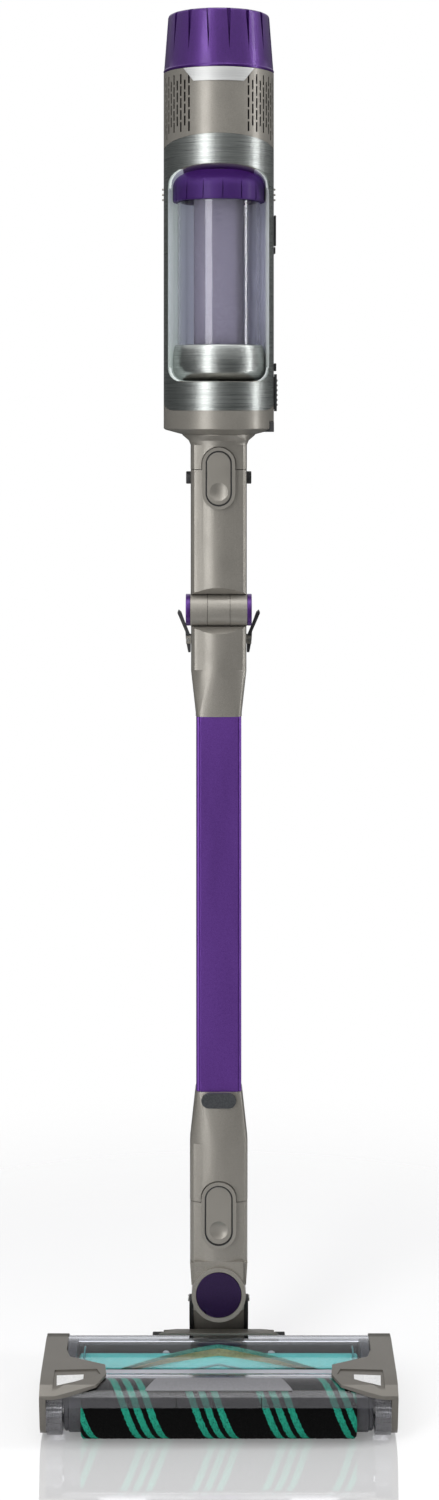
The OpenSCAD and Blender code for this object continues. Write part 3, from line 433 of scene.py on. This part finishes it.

# %% [markdown]
# The motor housing is taupe outside only. Inside its vent slots it is painted black as painted shade, so
# that the slots read as deep openings: black is where the radius is a little less than the housing's own.

# %% Motor housing
SKIN = 0.0003
housing_low, housing_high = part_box("motor_housing")
HOUSING_R = (housing_high[0] - housing_low[0]) / 2
housing_paint = flake_paint("housing_paint", *TAUPE)
tree, shader, x, y, z = reopen(housing_paint)
# Painted shade: the walls of the vent slots are painted black.
inside = count(tree, "LESS_THAN", radius_of(tree, x, y), HOUSING_R - SKIN)
paint_over(tree, shader, inside, screen(12, 12, 12))
print("Housing radius:", round(HOUSING_R * 1000, 2), "mm")

# %% [markdown]
# The floor head's chassis is a darker taupe. The chamber round its rear roller is dark grey: that is where
# the distance from the roller's axis is small. Its front bar, which holds the hood, is a pale grey.

# %% Chassis of the floor head
CHAMBER_R = 0.0275
BAR_FRONT_OF, BAR_ABOVE, BAR_HALF = -0.066, 0.036, 0.1205
fin_axis = Vector((0, -0.043, 0.0245))
chassis_paint = flake_paint("chassis_paint", screen(128, 124, 116), screen(110, 106, 99), 0.45,
                            0.42)
tree, shader, x, y, z = reopen(chassis_paint)
back = count(tree, "ADD", y, -fin_axis.y)
rise = count(tree, "SUBTRACT", z, fin_axis.z)
chamber = count(tree, "LESS_THAN", radius_of(tree, back, rise), CHAMBER_R)
paint_over(tree, shader, chamber, screen(66, 66, 69))
bar = both(tree, count(tree, "LESS_THAN", y, BAR_FRONT_OF), count(tree, "GREATER_THAN", z, BAR_ABOVE),
           count(tree, "LESS_THAN", count(tree, "ABSOLUTE", x), BAR_HALF))
paint_over(tree, shader, bar, screen(190, 190, 198))
print("Chamber radius:", CHAMBER_R * 1000, "mm")

# %% [markdown]
# The hood over the front roller is clear, and its front lip is frosted grey, with two thin dark moulding
# seams across the lip. The frost makes the lip rougher and a little less clear.

# %% Front hood
LIP_BELOW, LIP_FRONT_OF = 0.0388, -0.09
SEAM_X, SEAM_HALF = 0.033, 0.0004
hood_clear = clear_plastic("hood_clear", screen(222, 222, 228), 0.03)
tree, shader, x, y, z = reopen(hood_clear)
lip = both(tree, count(tree, "LESS_THAN", z, LIP_BELOW), count(tree, "LESS_THAN", y, LIP_FRONT_OF))
from_seam = count(tree, "ABSOLUTE", count(tree, "SUBTRACT", count(tree, "ABSOLUTE", x), SEAM_X))
seam = count(tree, "LESS_THAN", from_seam, SEAM_HALF)
frost = count(tree, "ADD", count(tree, "MULTIPLY", lip, 0.07), 0.03)
tree.links.new(frost, shader.inputs["Roughness"])
paint_over(tree, shader, lip, screen(172, 172, 178))
paint_over(tree, shader, both(tree, lip, seam), screen(60, 60, 62))
less_clear = count(tree, "SUBTRACT", 1.0, count(tree, "MULTIPLY", lip, 0.03))
tree.links.new(less_clear, shader.inputs["Transmission Weight"])
print("Seams of the lip at", SEAM_X * 1000, "mm from the middle")

# %% [markdown]
# ### Roller materials
# The rear roller is a teal moulding with ribs a shade darker. Its bristles are teal and tan. The front
# roller is covered with a short pile between grey hubs, and a black sleeve behind the vents is painted
# shade.

# %% Roller materials
teal_rubber = moulded("teal_rubber", screen(72, 206, 194), screen(62, 194, 182), 0.42, 500, 0.1)
black_pile = moulded("black_pile", screen(22, 22, 23), screen(10, 10, 11), 0.95, 1100, 0.8)
hub_grey = moulded("hub_grey", screen(58, 58, 62), screen(46, 46, 50), 0.40)
bristle_teal = moulded("bristle_teal", screen(96, 208, 178), screen(60, 168, 142), 0.55, 700, 0.1)
rib_teal = moulded("rib_teal", screen(70, 156, 148), screen(58, 140, 132), 0.45, 500, 0.1)
bristle_tan = moulded("bristle_tan", screen(206, 200, 132), screen(170, 164, 104), 0.55, 700, 0.1)
# Painted shade: the black of the sleeve behind the vents.
vent_shade_black = moulded("vent_shade_black", screen(20, 20, 20), screen(8, 8, 8), 0.95, 700, 0.6)
print("Finishes now:", len(bpy.data.materials))

# %% [markdown]
# ## Dressing the CAD pieces
# The CAD pieces arrive as loose triangles with knife-sharp edges. Real mouldings have small rounded edges
# that catch the light. Modifiers can add them without touching the mesh: Weld joins the triangles,
# Decimate in planar mode turns them back into flat faces, and Bevel rounds the sharp edges. Edge Split
# then keeps what is still sharp crisp, and Weighted Normal lets the large faces decide how the narrow
# bevels shade. Each CAD object keeps its own vertices, which the frame requires.


# %% Dress one CAD node
SAME_POINT = 0.00001
FLAT, SHARP, CRISP = math.radians(0.6), math.radians(30), math.radians(38)


def dress(name, material, edge):
    """Gives a CAD node its finish and, where the edge isn't 0, small rounded edges of that width."""
    piece = nodes[name]
    piece.data.materials.clear()
    piece.data.materials.append(material)
    for face in piece.data.polygons:
        face.use_smooth = True
    weld = piece.modifiers.new("weld", "WELD")
    weld.merge_threshold = SAME_POINT
    if edge:
        planar = piece.modifiers.new("planar", "DECIMATE")
        planar.decimate_type = "DISSOLVE"
        planar.angle_limit = FLAT
        bevel = piece.modifiers.new("edges", "BEVEL")
        bevel.width = edge
        bevel.segments = 2
        bevel.limit_method = "ANGLE"
        bevel.angle_limit = SHARP
        bevel.harden_normals = True
        bevel.use_clamp_overlap = True
    split_edges = piece.modifiers.new("crisp", "EDGE_SPLIT")
    split_edges.split_angle = CRISP
    split_edges.use_edge_sharp = False
    if edge:
        shading = piece.modifiers.new("shading", "WEIGHTED_NORMAL")
        shading.weight = 60


print("Edges sharper than", round(math.degrees(SHARP)), "degrees get rounded")

# %% [markdown]
# Every node gets the finish of the piece it is. Larger mouldings get a wider edge than small ones. Thin
# walls, round pieces and the housing with its many small slots get none.

# %% Finishes of all CAD nodes
FINISHES = {
    "filter_cap": (purple, 0.0005), "exhaust_filter": (filter_media, 0),
    "motor_housing": (housing_paint, 0), "suction_motor": (motor_metal, 0.0005),
    "motor_fan": (fan_white, 0.0003), "badge_plate": (badge_silver, 0.0002),
    "steel_wrap": (steel, 0.0003), "cup_frame": (frame_paint, 0.0003),
    "side_catch": (dark_plastic, 0.0004), "cup_release": (dark_plastic, 0.0003),
    "cup_tube": (cup_clear, 0), "cup_collar": (collar_purple, 0.0003),
    "cup_base": (steel, 0.0004), "cyclone_core": (core_grey, 0.0004),
    "cup_screen": (screen_steel, 0), "handle": (taupe, 0.0012),
    "grip_sleeve": (grip_rubber, 0.0015), "trigger": (dark_plastic, 0.0008),
    "display_panel": (panel_black, 0.0004), "mode_button": (dark_plastic, 0.0004),
    "battery": (dark_plastic, 0.001), "battery_release": (purple, 0.0006),
    "unit_neck": (taupe, 0.0004), "upper_wand": (taupe, 0.0006), "upper_button": (taupe, 0.0006),
    "side_pegs": (dark_plastic, 0.0006), "hinge_collar": (taupe, 0.0006),
    "hinge_pin": (pin_steel, 0.0003), "hinge_discs": (purple, 0.0005),
    "fold_hose": (black_plastic, 0), "left_lever": (dark_plastic, 0.0005),
    "right_lever": (dark_plastic, 0.0005), "lever_pins": (pin_steel, 0.0002),
    "wand_tube": (tube_purple, 0.0003), "lower_connector": (taupe, 0.0006),
    "indicator_lens": (smoke_lens, 0.0004), "elbow": (taupe, 0.0006),
    "lower_button": (taupe, 0.0006), "neck_block": (taupe, 0.0006),
    "neck_arms": (black_plastic, 0.0006), "arm_screws": (pin_steel, 0.0002),
    "swivel_disc": (disc_purple, 0.0004), "pitch_pin": (pin_steel, 0.0003),
    "head_chassis": (chassis_paint, 0.0005), "sole_plate": (dark_plastic, 0.0004),
    "left_cap": (taupe_dark, 0.0006), "right_cap": (taupe_dark, 0.0006),
    "headlight_lenses": (white_lens, 0.0002), "rear_cover": (cover_clear, 0),
    "front_hood": (hood_clear, 0), "label_plate": (plate_grey, 0.0002),
    "fin_roller": (teal_rubber, 0), "soft_roller": (black_pile, 0.001),
    "axle_pins": (pin_steel, 0.0004), "end_brackets": (bracket_clear, 0.0004),
    "left_wheel": (tyre_rubber, 0.0006), "right_wheel": (tyre_rubber, 0.0006),
    "brush_motor": (motor_metal, 0.0004), "drive_pulley": (black_plastic, 0.0003),
    "drive_belt": (belt_rubber, 0.0002),
}
for node_name, (node_finish, edge_width) in FINISHES.items():
    dress(node_name, node_finish, edge_width)
print("Dressed", len(FINISHES), "of", len(nodes), "CAD nodes")

# %% [markdown]
# ## Helpers for new pieces
# Every new piece is a bmesh that starts from a simple shape and is shaped by operators: spin turns a
# profile into a round piece, a small cube makes a block, and extrude gives a flat ring its thickness. One
# helper turns a finished bmesh into an object, marks its sharp edges for shading, and lets it ride on a
# CAD body.


# %% From bmesh to a riding piece
def make_piece(name, bm, body, material, sharp=35):
    """Turns a bmesh into an object of the given finish that moves with a CAD body."""
    bmesh.ops.recalc_face_normals(bm, faces=bm.faces)
    for face in bm.faces:
        face.smooth = True
    for edge in bm.edges:
        if len(edge.link_faces) == 2 and edge.calc_face_angle() > math.radians(sharp):
            edge.smooth = False
    mesh = bpy.data.meshes.new(name)
    bm.to_mesh(mesh)
    bm.free()
    piece = bpy.data.objects.new(name, mesh)
    scene.collection.objects.link(piece)
    mesh.materials.append(material)
    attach(piece, body)
    print(name, "has", len(mesh.polygons), "faces")
    return piece


def spun(bm, profile, centre, axis, start, steps):
    """Spins a line of (radius, height) points once round an axis; start is the radius's direction."""
    axis, start, centre = Vector(axis), Vector(start), Vector(centre)
    verts = [bm.verts.new(centre + start * r + axis * h) for r, h in profile]
    edges = [bm.edges.new(pair) for pair in zip(verts, verts[1:])]
    bmesh.ops.spin(bm, geom=verts + edges, cent=centre, axis=axis, angle=2 * math.pi, steps=steps,
                   use_merge=True)
    bmesh.ops.remove_doubles(bm, verts=bm.verts, dist=1e-6)


def block(bm, place, size):
    """A small box, its size in millimetres, at a place that may be turned."""
    bmesh.ops.create_cube(bm, size=0.001, matrix=place @ Matrix.Diagonal((*size, 1)))


SIDES, ROLLER_RIGHT, UP = (-1, 1), (1, 0, 0), (0, 0, 1)
print("Helpers ready")

# %% [markdown]
# ## The soft front roller
# The soft roller is a tube covered with plush. Black pile alternates with groups of three teal stripes
# that run round it as one long screw line, so dirt is moved as it turns. The stripes could be painted
# by an image, but a pattern that counts with the UV map is sharper: U is the place along the roller
# and V the place round it, and a stripe is where U minus the screw's advance falls in a band. A little
# noise on U lets the tufts cross the stripe's border.

# %% Screw stripes as a mask
STRIPE_PITCH, STRIPE_START = 0.0547, 0.0238
STRIPE_STEP, STRIPE_HALF = 0.0097, 0.0027
plush, tree, shader = finish("striped_plush", Roughness=1.0, Specular_IOR_Level=0.12)
uv = tree.nodes.new("ShaderNodeUVMap")
uv.uv_map = "wrap"
wrapped = add_node(tree, "ShaderNodeSeparateXYZ", uv.outputs["UV"]).outputs
fuzz = noise(tree, 900, detail=2)
wobble = count(tree, "MULTIPLY", count(tree, "SUBTRACT", fuzz, 0.5), 0.0022)
along = count(tree, "ADD", count(tree, "SUBTRACT", wrapped["X"], wrapped["Y"]), wobble)
phase = count(tree, "WRAP", count(tree, "SUBTRACT", along, STRIPE_START), STRIPE_PITCH, 0.0)
bands = []
for number in range(3):
    middle = number * STRIPE_STEP + STRIPE_HALF
    offset = count(tree, "ABSOLUTE", count(tree, "SUBTRACT", phase, middle))
    bands.append(count(tree, "LESS_THAN", offset, STRIPE_HALF))
stripes = count(tree, "MAXIMUM", count(tree, "MAXIMUM", bands[0], bands[1]), bands[2])
print("Stripes:", STRIPE_HALF * 2000, "mm wide, a group every", STRIPE_PITCH * 1000, "mm")

# %% [markdown]
# Pile is never one flat colour. A second, finer noise darkens the colour in small flecks, painted shade
# that stands for the dark between the tufts, and the first one gives the relief.

# %% Plush colours
colours = add_node(tree, "ShaderNodeMix", stripes, data_type="RGBA")
colours.inputs["A"].default_value = screen(6, 6, 6)
colours.inputs["B"].default_value = screen(38, 150, 124)
# Painted shade: dark flecks that stand for the shade between the tufts.
shade_flecks = ramp(tree, noise(tree, 1500, detail=1), 0.52, 0.66)
tuft_shade = add_node(tree, "ShaderNodeMix", shade_flecks, data_type="RGBA", blend_type="MULTIPLY")
tuft_shade.inputs["B"].default_value = (0.16, 0.16, 0.16, 1)
tree.links.new(colours.outputs["Result"], tuft_shade.inputs["A"])
tree.links.new(tuft_shade.outputs["Result"], shader.inputs["Base Color"])
relief(tree, shader, fuzz, strength=0.6, distance=0.0006)
print("Plush:", plush.name)

# %% [markdown]
# The shape is a spun profile with rounded ends, fine enough that each point can move in or out like a
# small tuft. The UV map is laid while the roller is still smooth, and a face that crosses the seam takes
# the turn nearest to its own middle. The tufts come from two noises that depend only on the place, so they
# are the same each run.

# %% Soft roller with its pile
from mathutils import noise as place_noise

PILE_ROWS, PILE_STEPS = 300, 170
PILE_END, PILE_BORE = 0.107, 0.012
ROUND_IN, ROUND_ALONG = 0.0016, 0.0014
TUFTS = ((900, 0.0004), (2600, 0.00025))
low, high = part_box("soft_roller")
roller_axis = Vector((0, (low[1] + high[1]) / 2, (low[2] + high[2]) / 2))
pile_r = (high[2] - low[2]) / 2 - 0.0004
pile_rows = [-PILE_END + ROUND_ALONG + (2 * PILE_END - 2 * ROUND_ALONG) * i / PILE_ROWS
             for i in range(PILE_ROWS + 1)]
profile = [(PILE_BORE, -PILE_END), (pile_r - ROUND_IN, -PILE_END)]
profile += [(pile_r, row) for row in pile_rows]
profile += [(pile_r - ROUND_IN, PILE_END), (PILE_BORE, PILE_END)]
bm = bmesh.new()
spun(bm, profile, roller_axis, ROLLER_RIGHT, UP, PILE_STEPS)
wrap = bm.loops.layers.uv.new("wrap")
for face in bm.faces:
    centre = face.calc_center_median() - roller_axis
    middle = math.atan2(-centre.y, centre.z)
    for loop in face.loops:
        spot = loop.vert.co - roller_axis
        turn = math.atan2(-spot.y, spot.z)
        turn += 2 * math.pi * round((middle - turn) / (2 * math.pi))
        loop[wrap].uv = (spot.x, turn / (2 * math.pi) * STRIPE_PITCH)
for vert in bm.verts:
    out = vert.co - roller_axis
    out.x = 0
    if out.length > pile_r - 0.001:
        tuft = sum(place_noise.noise(vert.co * scale) * depth for scale, depth in TUFTS)
        vert.co += out.normalized() * (tuft - 0.0002)
pile = make_piece("soft_roller_pile", bm, "soft_roller", plush, sharp=80)

# %% [markdown]
# The pile ends short of the covers. Beyond it the roller's hard plastic hub goes on to the bearing, which
# is what shows as a dark stub behind the clear bracket. A hub is a stepped disc, so it is spun as well,
# and eight small lugs stand round its rim.

# %% Hubs of the soft roller
HUB_BORE, HUB_R, HUB_RIM = 0.0045, 0.0168, 0.0158
hub_end = high[0]
hub_face = hub_end - 0.0004
hub_outline = [(HUB_BORE, PILE_END - 0.001), (HUB_R, PILE_END - 0.001), (HUB_R, hub_end - 0.0044),
               (HUB_RIM, hub_end - 0.0036), (HUB_RIM, hub_end - 0.0014), (0.0148, hub_face),
               (HUB_BORE, hub_face)]
bm = bmesh.new()
for side in SIDES:
    spun(bm, hub_outline, roller_axis, (side, 0, 0), UP, 64)
    for turn in range(8):
        angle = turn * math.pi / 4
        rim = Vector((side * (hub_end - 0.0024), math.sin(angle) * HUB_RIM,
                      math.cos(angle) * HUB_RIM))
        lug = Matrix.Translation(roller_axis + rim) @ Matrix.Rotation(-angle, 4, "X")
        block(bm, lug, (1.8, 1.6, 0.9))
make_piece("soft_roller_hubs", bm, "soft_roller", hub_grey, sharp=28)
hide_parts("soft_roller")
print("Each hub is", round((hub_face - PILE_END) * 1000, 1), "mm longer than the pile")

# %% [markdown]
# ## The rear roller
# The rear roller lifts dirt out of carpet. It is a smooth teal tube with two rows of bristles on each
# half, wound so that the rows of both halves meet in the middle as chevrons and sweep dirt to the middle.
# A row is two lines of tufts: long teal ones, and shorter tan ones in front of them. One bristle is a cone
# with three sides. A strip is made once and then copied and turned, which is quicker than making
# thousands of cones one by one.


# %% One strip of tufts
FIN_HALF, FIN_TIP, CORE_R = 0.112, 0.0244, 0.016
TWIST_PER_MM = 0.7
TUFT_STEP, TUFT_BRISTLES = 0.00078, 5
MOST_SWAY, TAPER = 0.16, 0.55


def tuft_line(tip, lead, thick):
    """Tufts along one helical line of a half roller, round the X axis, the line starting on top."""
    strip = bmesh.new()
    root = CORE_R - 0.0005
    total = int((FIN_HALF - 0.001) / TUFT_STEP)
    for i in range(total):
        x = TUFT_STEP * (i + 0.5)
        angle = lead + math.radians(TWIST_PER_MM) * x * 1000
        for k in range(TUFT_BRISTLES):
            jitter = Vector((x, angle * 10, k * 7.3)) * 310
            sway = Vector((place_noise.noise(jitter), place_noise.noise(jitter + Vector((31, 7, 3))), 0))
            length = (tip - root) * (1 + 0.10 * (place_noise.noise(jitter + Vector((5, 50, 9))) - 0.3))
            length = min(length, tip - root)
            foot = Vector((x + (k % 2 - 0.5) * TUFT_STEP * 0.5, 0, root + length / 2))
            tilt = Matrix.Rotation(sway.y * MOST_SWAY, 4, "Y")
            tilt = tilt @ Matrix.Rotation(sway.x * MOST_SWAY, 4, "X")
            place = Matrix.Rotation(angle, 4, "X") @ Matrix.Translation(foot) @ tilt
            bmesh.ops.create_cone(strip, cap_ends=True, segments=3, radius1=thick,
                                  radius2=thick * TAPER, depth=length, matrix=place)
    return strip


teal_strip = tuft_line(FIN_TIP - 0.0002, lead=0.0, thick=0.00030)
tan_strip = tuft_line(FIN_TIP - 0.0024, lead=0.085, thick=0.00032)
print("Strips:", len(teal_strip.faces), "and", len(tan_strip.faces), "faces")

# %% [markdown]
# The strip lies round the X axis on the right half. A half turn gives the second row, and mirroring gives
# the left half. Only then does it move to the roller's own axis.


# %% Bristles all round both halves
def wind(strip, name, material):
    """Copies a strip to both halves and all starts of the roller."""
    source = bpy.data.meshes.new(name + "_strip")
    strip.to_mesh(source)
    strip.free()
    bm = bmesh.new()
    for side in SIDES:
        for start in range(2):
            before = len(bm.verts)
            bm.from_mesh(source)
            bm.verts.ensure_lookup_table()
            turn = Matrix.Rotation(start * math.pi, 4, "X")
            flip = Matrix.Diagonal((side, 1, 1, 1))
            bmesh.ops.transform(bm, matrix=Matrix.Translation(fin_axis) @ flip @ turn,
                                verts=bm.verts[before:])
    bpy.data.meshes.remove(source)
    make_piece(name, bm, "fin_roller", material, sharp=20)


wind(teal_strip, "teal_bristles", bristle_teal)
wind(tan_strip, "tan_bristles", bristle_tan)

# %% [markdown]
# The core is a smooth tube with a small chamfer at each end, spun from a line of many short pieces.

# %% Core
CHAMFER, CORE_ROWS = 0.001, 60
outline = [(0.0, -FIN_HALF), (CORE_R - CHAMFER, -FIN_HALF), (CORE_R, -FIN_HALF + CHAMFER)]
outline += [(CORE_R, -FIN_HALF + CHAMFER + (2 * FIN_HALF - 2 * CHAMFER) * i / CORE_ROWS)
            for i in range(1, CORE_ROWS + 1)]
outline += [(CORE_R - CHAMFER, FIN_HALF), (0.0, FIN_HALF)]
bm = bmesh.new()
spun(bm, outline, fin_axis, ROLLER_RIGHT, UP, 96)
core = make_piece("fin_roller_core", bm, "fin_roller", teal_rubber, sharp=30)

# %% [markdown]
# A thin rib runs along each row of bristles. It follows the same helix: a small block is placed at the
# middle, and each next one is turned a little more and overlaps the last.

# %% Ribs
RIB_BLOCKS, RIB_AHEAD, RIB_CANT = 110, 38, -0.195
bm = bmesh.new()
for side in SIDES:
    flip = Matrix.Translation(fin_axis) @ Matrix.Diagonal((side, 1, 1, 1))
    for start in range(2):
        for i in range(RIB_BLOCKS):
            x = 0.001 * (i + 0.5)
            angle = start * math.pi + math.radians(RIB_AHEAD + TWIST_PER_MM * x * 1000)
            place = Matrix.Rotation(angle, 4, "X") @ Matrix.Translation((x, 0, CORE_R + 0.0003))
            block(bm, flip @ place @ Matrix.Rotation(RIB_CANT, 4, "Z"), (1.15, 1.1, 1.8))
make_piece("fin_roller_ribs", bm, "fin_roller", rib_teal, sharp=30)

# %% [markdown]
# A grey shaft stands out at both ends. At the right end it carries the pulley of the drive belt, with a
# groove between two rims. Each side is an outline of radii and places along the axis, spun once round.

# %% Shaft and pulley
SHAFT_R, WEB_R, PULLEY_R, GROOVE_R = 0.006, 0.0118, 0.0130, 0.0122
SHAFT_IN, SHAFT_OUT = 0.1115, 0.1299
pulley_side = [(0.0, SHAFT_IN), (SHAFT_R, SHAFT_IN), (SHAFT_R, 0.1236), (WEB_R, 0.1236),
               (PULLEY_R, 0.1242), (PULLEY_R, 0.1252), (GROOVE_R, 0.1256), (GROOVE_R, 0.1274),
               (PULLEY_R, 0.1278), (PULLEY_R, 0.1288), (WEB_R, 0.1294), (SHAFT_R, 0.1294),
               (SHAFT_R, SHAFT_OUT), (0.0, SHAFT_OUT)]
plain_side = [(0.0, SHAFT_IN), (SHAFT_R, SHAFT_IN), (SHAFT_R, 0.1294), (0.0054, SHAFT_OUT),
              (0.0, SHAFT_OUT)]
bm = bmesh.new()
spun(bm, pulley_side, fin_axis, ROLLER_RIGHT, UP, 64)
spun(bm, plain_side, fin_axis, (-1, 0, 0), UP, 48)
make_piece("fin_roller_pulley", bm, "fin_roller", hub_grey, sharp=28)
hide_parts("fin_roller")
print("Pulley across its rims:", PULLEY_R * 2000, "mm")

# %% [markdown]
# ## Behind the vents
# Behind the vents of the motor housing stands a black sleeve, painted shade for the dark inside the slots.
# Without it, one would look through the slots at the far wall. It is a thin spun tube.

# %% Black sleeve behind the vents, painted shade
SHADE_SLEEVE_IN, SHADE_SLEEVE_OUT = 0.0418, 0.0426
sleeve_low, sleeve_high = housing_low[2] + 0.0065, housing_high[2] - 0.0040
sleeve = [(SHADE_SLEEVE_IN, sleeve_low), (SHADE_SLEEVE_OUT, sleeve_low), (SHADE_SLEEVE_OUT, sleeve_high), (SHADE_SLEEVE_IN, sleeve_high),
          (SHADE_SLEEVE_IN, sleeve_low)]
bm = bmesh.new()
spun(bm, sleeve, (0, 0, 0), UP, (1, 0, 0), 96)
# Painted shade: a black sleeve that darkens the view through the slots.
make_piece("vent_shade_sleeve", bm, "hand_unit", vent_shade_black)
print("Shade sleeve:", round((sleeve_high - sleeve_low) * 1000, 1), "mm high")

# %% [markdown]
# ## Gaskets of the release buttons
# Each release button sits in a raised frame with a dark gap round it. The gap alone would look thin, since
# a render blurs half a millimetre away, so a flat black ring fills it as painted shade for the shadow in
# the gap. Its outline is a circle pulled apart into a stadium, twice, and bridge_loops makes a ring of the
# two.


# %% Stadium rings
GAP_SHADE_FRONT, GAP_SHADE_THICK = -0.0254, 0.0004
OUTSIDE_IN, INSIDE_IN = 0.0054, 0.00735


def stadium_loop(bm, width, height, place):
    """Edges of a stadium in the XZ plane: a circle whose upper and lower halves are pulled apart."""
    made = bmesh.ops.create_circle(bm, segments=48, radius=width / 2,
                                   matrix=Matrix.Rotation(math.pi / 2, 4, "X"))
    lift = (height - width) / 2
    for vert in made["verts"]:
        vert.co.z += lift if vert.co.z > 0 else -lift
        vert.co += place
    return list({edge for vert in made["verts"] for edge in vert.link_edges})


def gap_shade_ring(name, z, width, height, body):
    """A flat black ring, painted shade, in the gap round a button whose frame has this width and height.
    """
    bm = bmesh.new()
    place = Vector((0, GAP_SHADE_FRONT - 0.0001, z))
    loops = []
    for inset in (OUTSIDE_IN, INSIDE_IN):
        loops += stadium_loop(bm, width - inset, height - inset, place)
    ring = bmesh.ops.bridge_loops(bm, edges=loops)["faces"]
    thick = bmesh.ops.extrude_face_region(bm, geom=ring)
    moved = [part for part in thick["geom"] if isinstance(part, bmesh.types.BMVert)]
    bmesh.ops.translate(bm, verts=moved, vec=(0, GAP_SHADE_THICK, 0))
    make_piece(name, bm, body, black_plastic)


# Painted shade: black rings in the gaps round the two release buttons.
gap_shade_ring("upper_gap_shade", z=0.7467, width=0.027, height=0.0508, body="hand_unit")
gap_shade_ring("lower_gap_shade", z=0.146, width=0.0284, height=0.0544, body="lower_wand")

# %% [markdown]
# ## Small parts inside the floor head
# Two small white domes sit on the back wall of the roller's chamber and show as white dots through the
# clear cover. A dome could be half a ball, but a whole ball pressed flat against the wall looks the same
# and stays closed.

# %% White dots in the chamber
bm = bmesh.new()
for side in SIDES:
    spot = Matrix.Translation((side * 0.043, -0.0196, 0.0325)) @ Matrix.Diagonal((1.3, 0.6, 0.8, 1))
    bmesh.ops.create_uvsphere(bm, u_segments=20, v_segments=12, radius=0.0022, matrix=spot)
make_piece("chamber_dots", bm, "head", white_lens, sharp=60)

# %% [markdown]
# A clear collar near each end of the rear roller keeps hair away from the bearings. It is a ring with
# rounded edges that sits on the core, so its outline is spun and its inner side is left to the core.

# %% Collars of the rear roller
COLLAR_IN, COLLAR_EDGE, COLLAR_R = CORE_R - 0.0002, 0.0212, 0.0216
ring = [(COLLAR_IN, 0.1070), (COLLAR_EDGE, 0.1070), (COLLAR_R, 0.1074), (COLLAR_R, 0.1082),
        (COLLAR_EDGE, 0.1086), (COLLAR_IN, 0.1086)]
bm = bmesh.new()
for side in SIDES:
    spun(bm, ring, fin_axis, (side, 0, 0), UP, 64)
make_piece("fin_roller_collars", bm, "fin_roller", cover_clear, sharp=30)
print("Collar across:", round(COLLAR_R * 2000, 1), "mm")

# %% [markdown]
# ## The floor
# The floor is a pale glossy sheet. It could be very large, but then its far edge would show in other
# views. A round floor that fades to nothing with the distance from its middle runs into the white
# background from every side.

# %% Floor sheet
FLOOR_R, FADE_FROM, FADE_TO = 1.1, 0.30, 0.75
floor_mesh = bmesh.new()
bmesh.ops.create_circle(floor_mesh, cap_ends=True, radius=FLOOR_R, segments=96)
floor_data = bpy.data.meshes.new("studio_floor")
floor_mesh.to_mesh(floor_data)
floor_mesh.free()
floor = bpy.data.objects.new("studio_floor", floor_data)
scene.collection.objects.link(floor)
print("Floor radius:", FLOOR_R, "m, gone beyond", FADE_TO, "m")

# %% [markdown]
# The floor takes the soft shadow and mirrors the head. To the camera it adds a little light of its own,
# so that it is white wherever nothing shades it, and only the camera sees its mirror image: for all other
# rays it is a plain matt sheet.

# %% Floor finish
WHITE = (1, 1, 1, 1)
GLOW, MIRROR_SHARE, MIRROR_BLUR = 0.30, 0.40, 0.02
floor_mat = finish("studio_white", Base_Color=(0.90, 0.90, 0.90, 1), Roughness=0.6,
                   Specular_IOR_Level=0.0)[0]
tree, shader, x, y, z = reopen(floor_mat)
glow = add_node(tree, "ShaderNodeEmission", WHITE, GLOW).outputs[0]
lit = add_node(tree, "ShaderNodeAddShader", shader.outputs[0], glow).outputs[0]
mirror = add_node(tree, "ShaderNodeBsdfGlossy", WHITE, MIRROR_BLUR).outputs[0]
clear = tree.nodes.new("ShaderNodeBsdfTransparent").outputs[0]
seen = mix_shaders(tree, MIRROR_SHARE, lit, mirror)
to_camera = tree.nodes.new("ShaderNodeLightPath").outputs["Is Camera Ray"]
surface = mix_shaders(tree, to_camera, shader.outputs[0], seen)
fade = add_node(tree, "ShaderNodeMapRange", radius_of(tree, x, y), FADE_FROM, FADE_TO,
                interpolation_type="SMOOTHSTEP").outputs["Result"]
faded = mix_shaders(tree, fade, surface, clear)
tree.links.new(faded, tree.nodes["Material Output"].inputs["Surface"])
floor_data.materials.append(floor_mat)
print("Floor finish:", floor_mat.name)
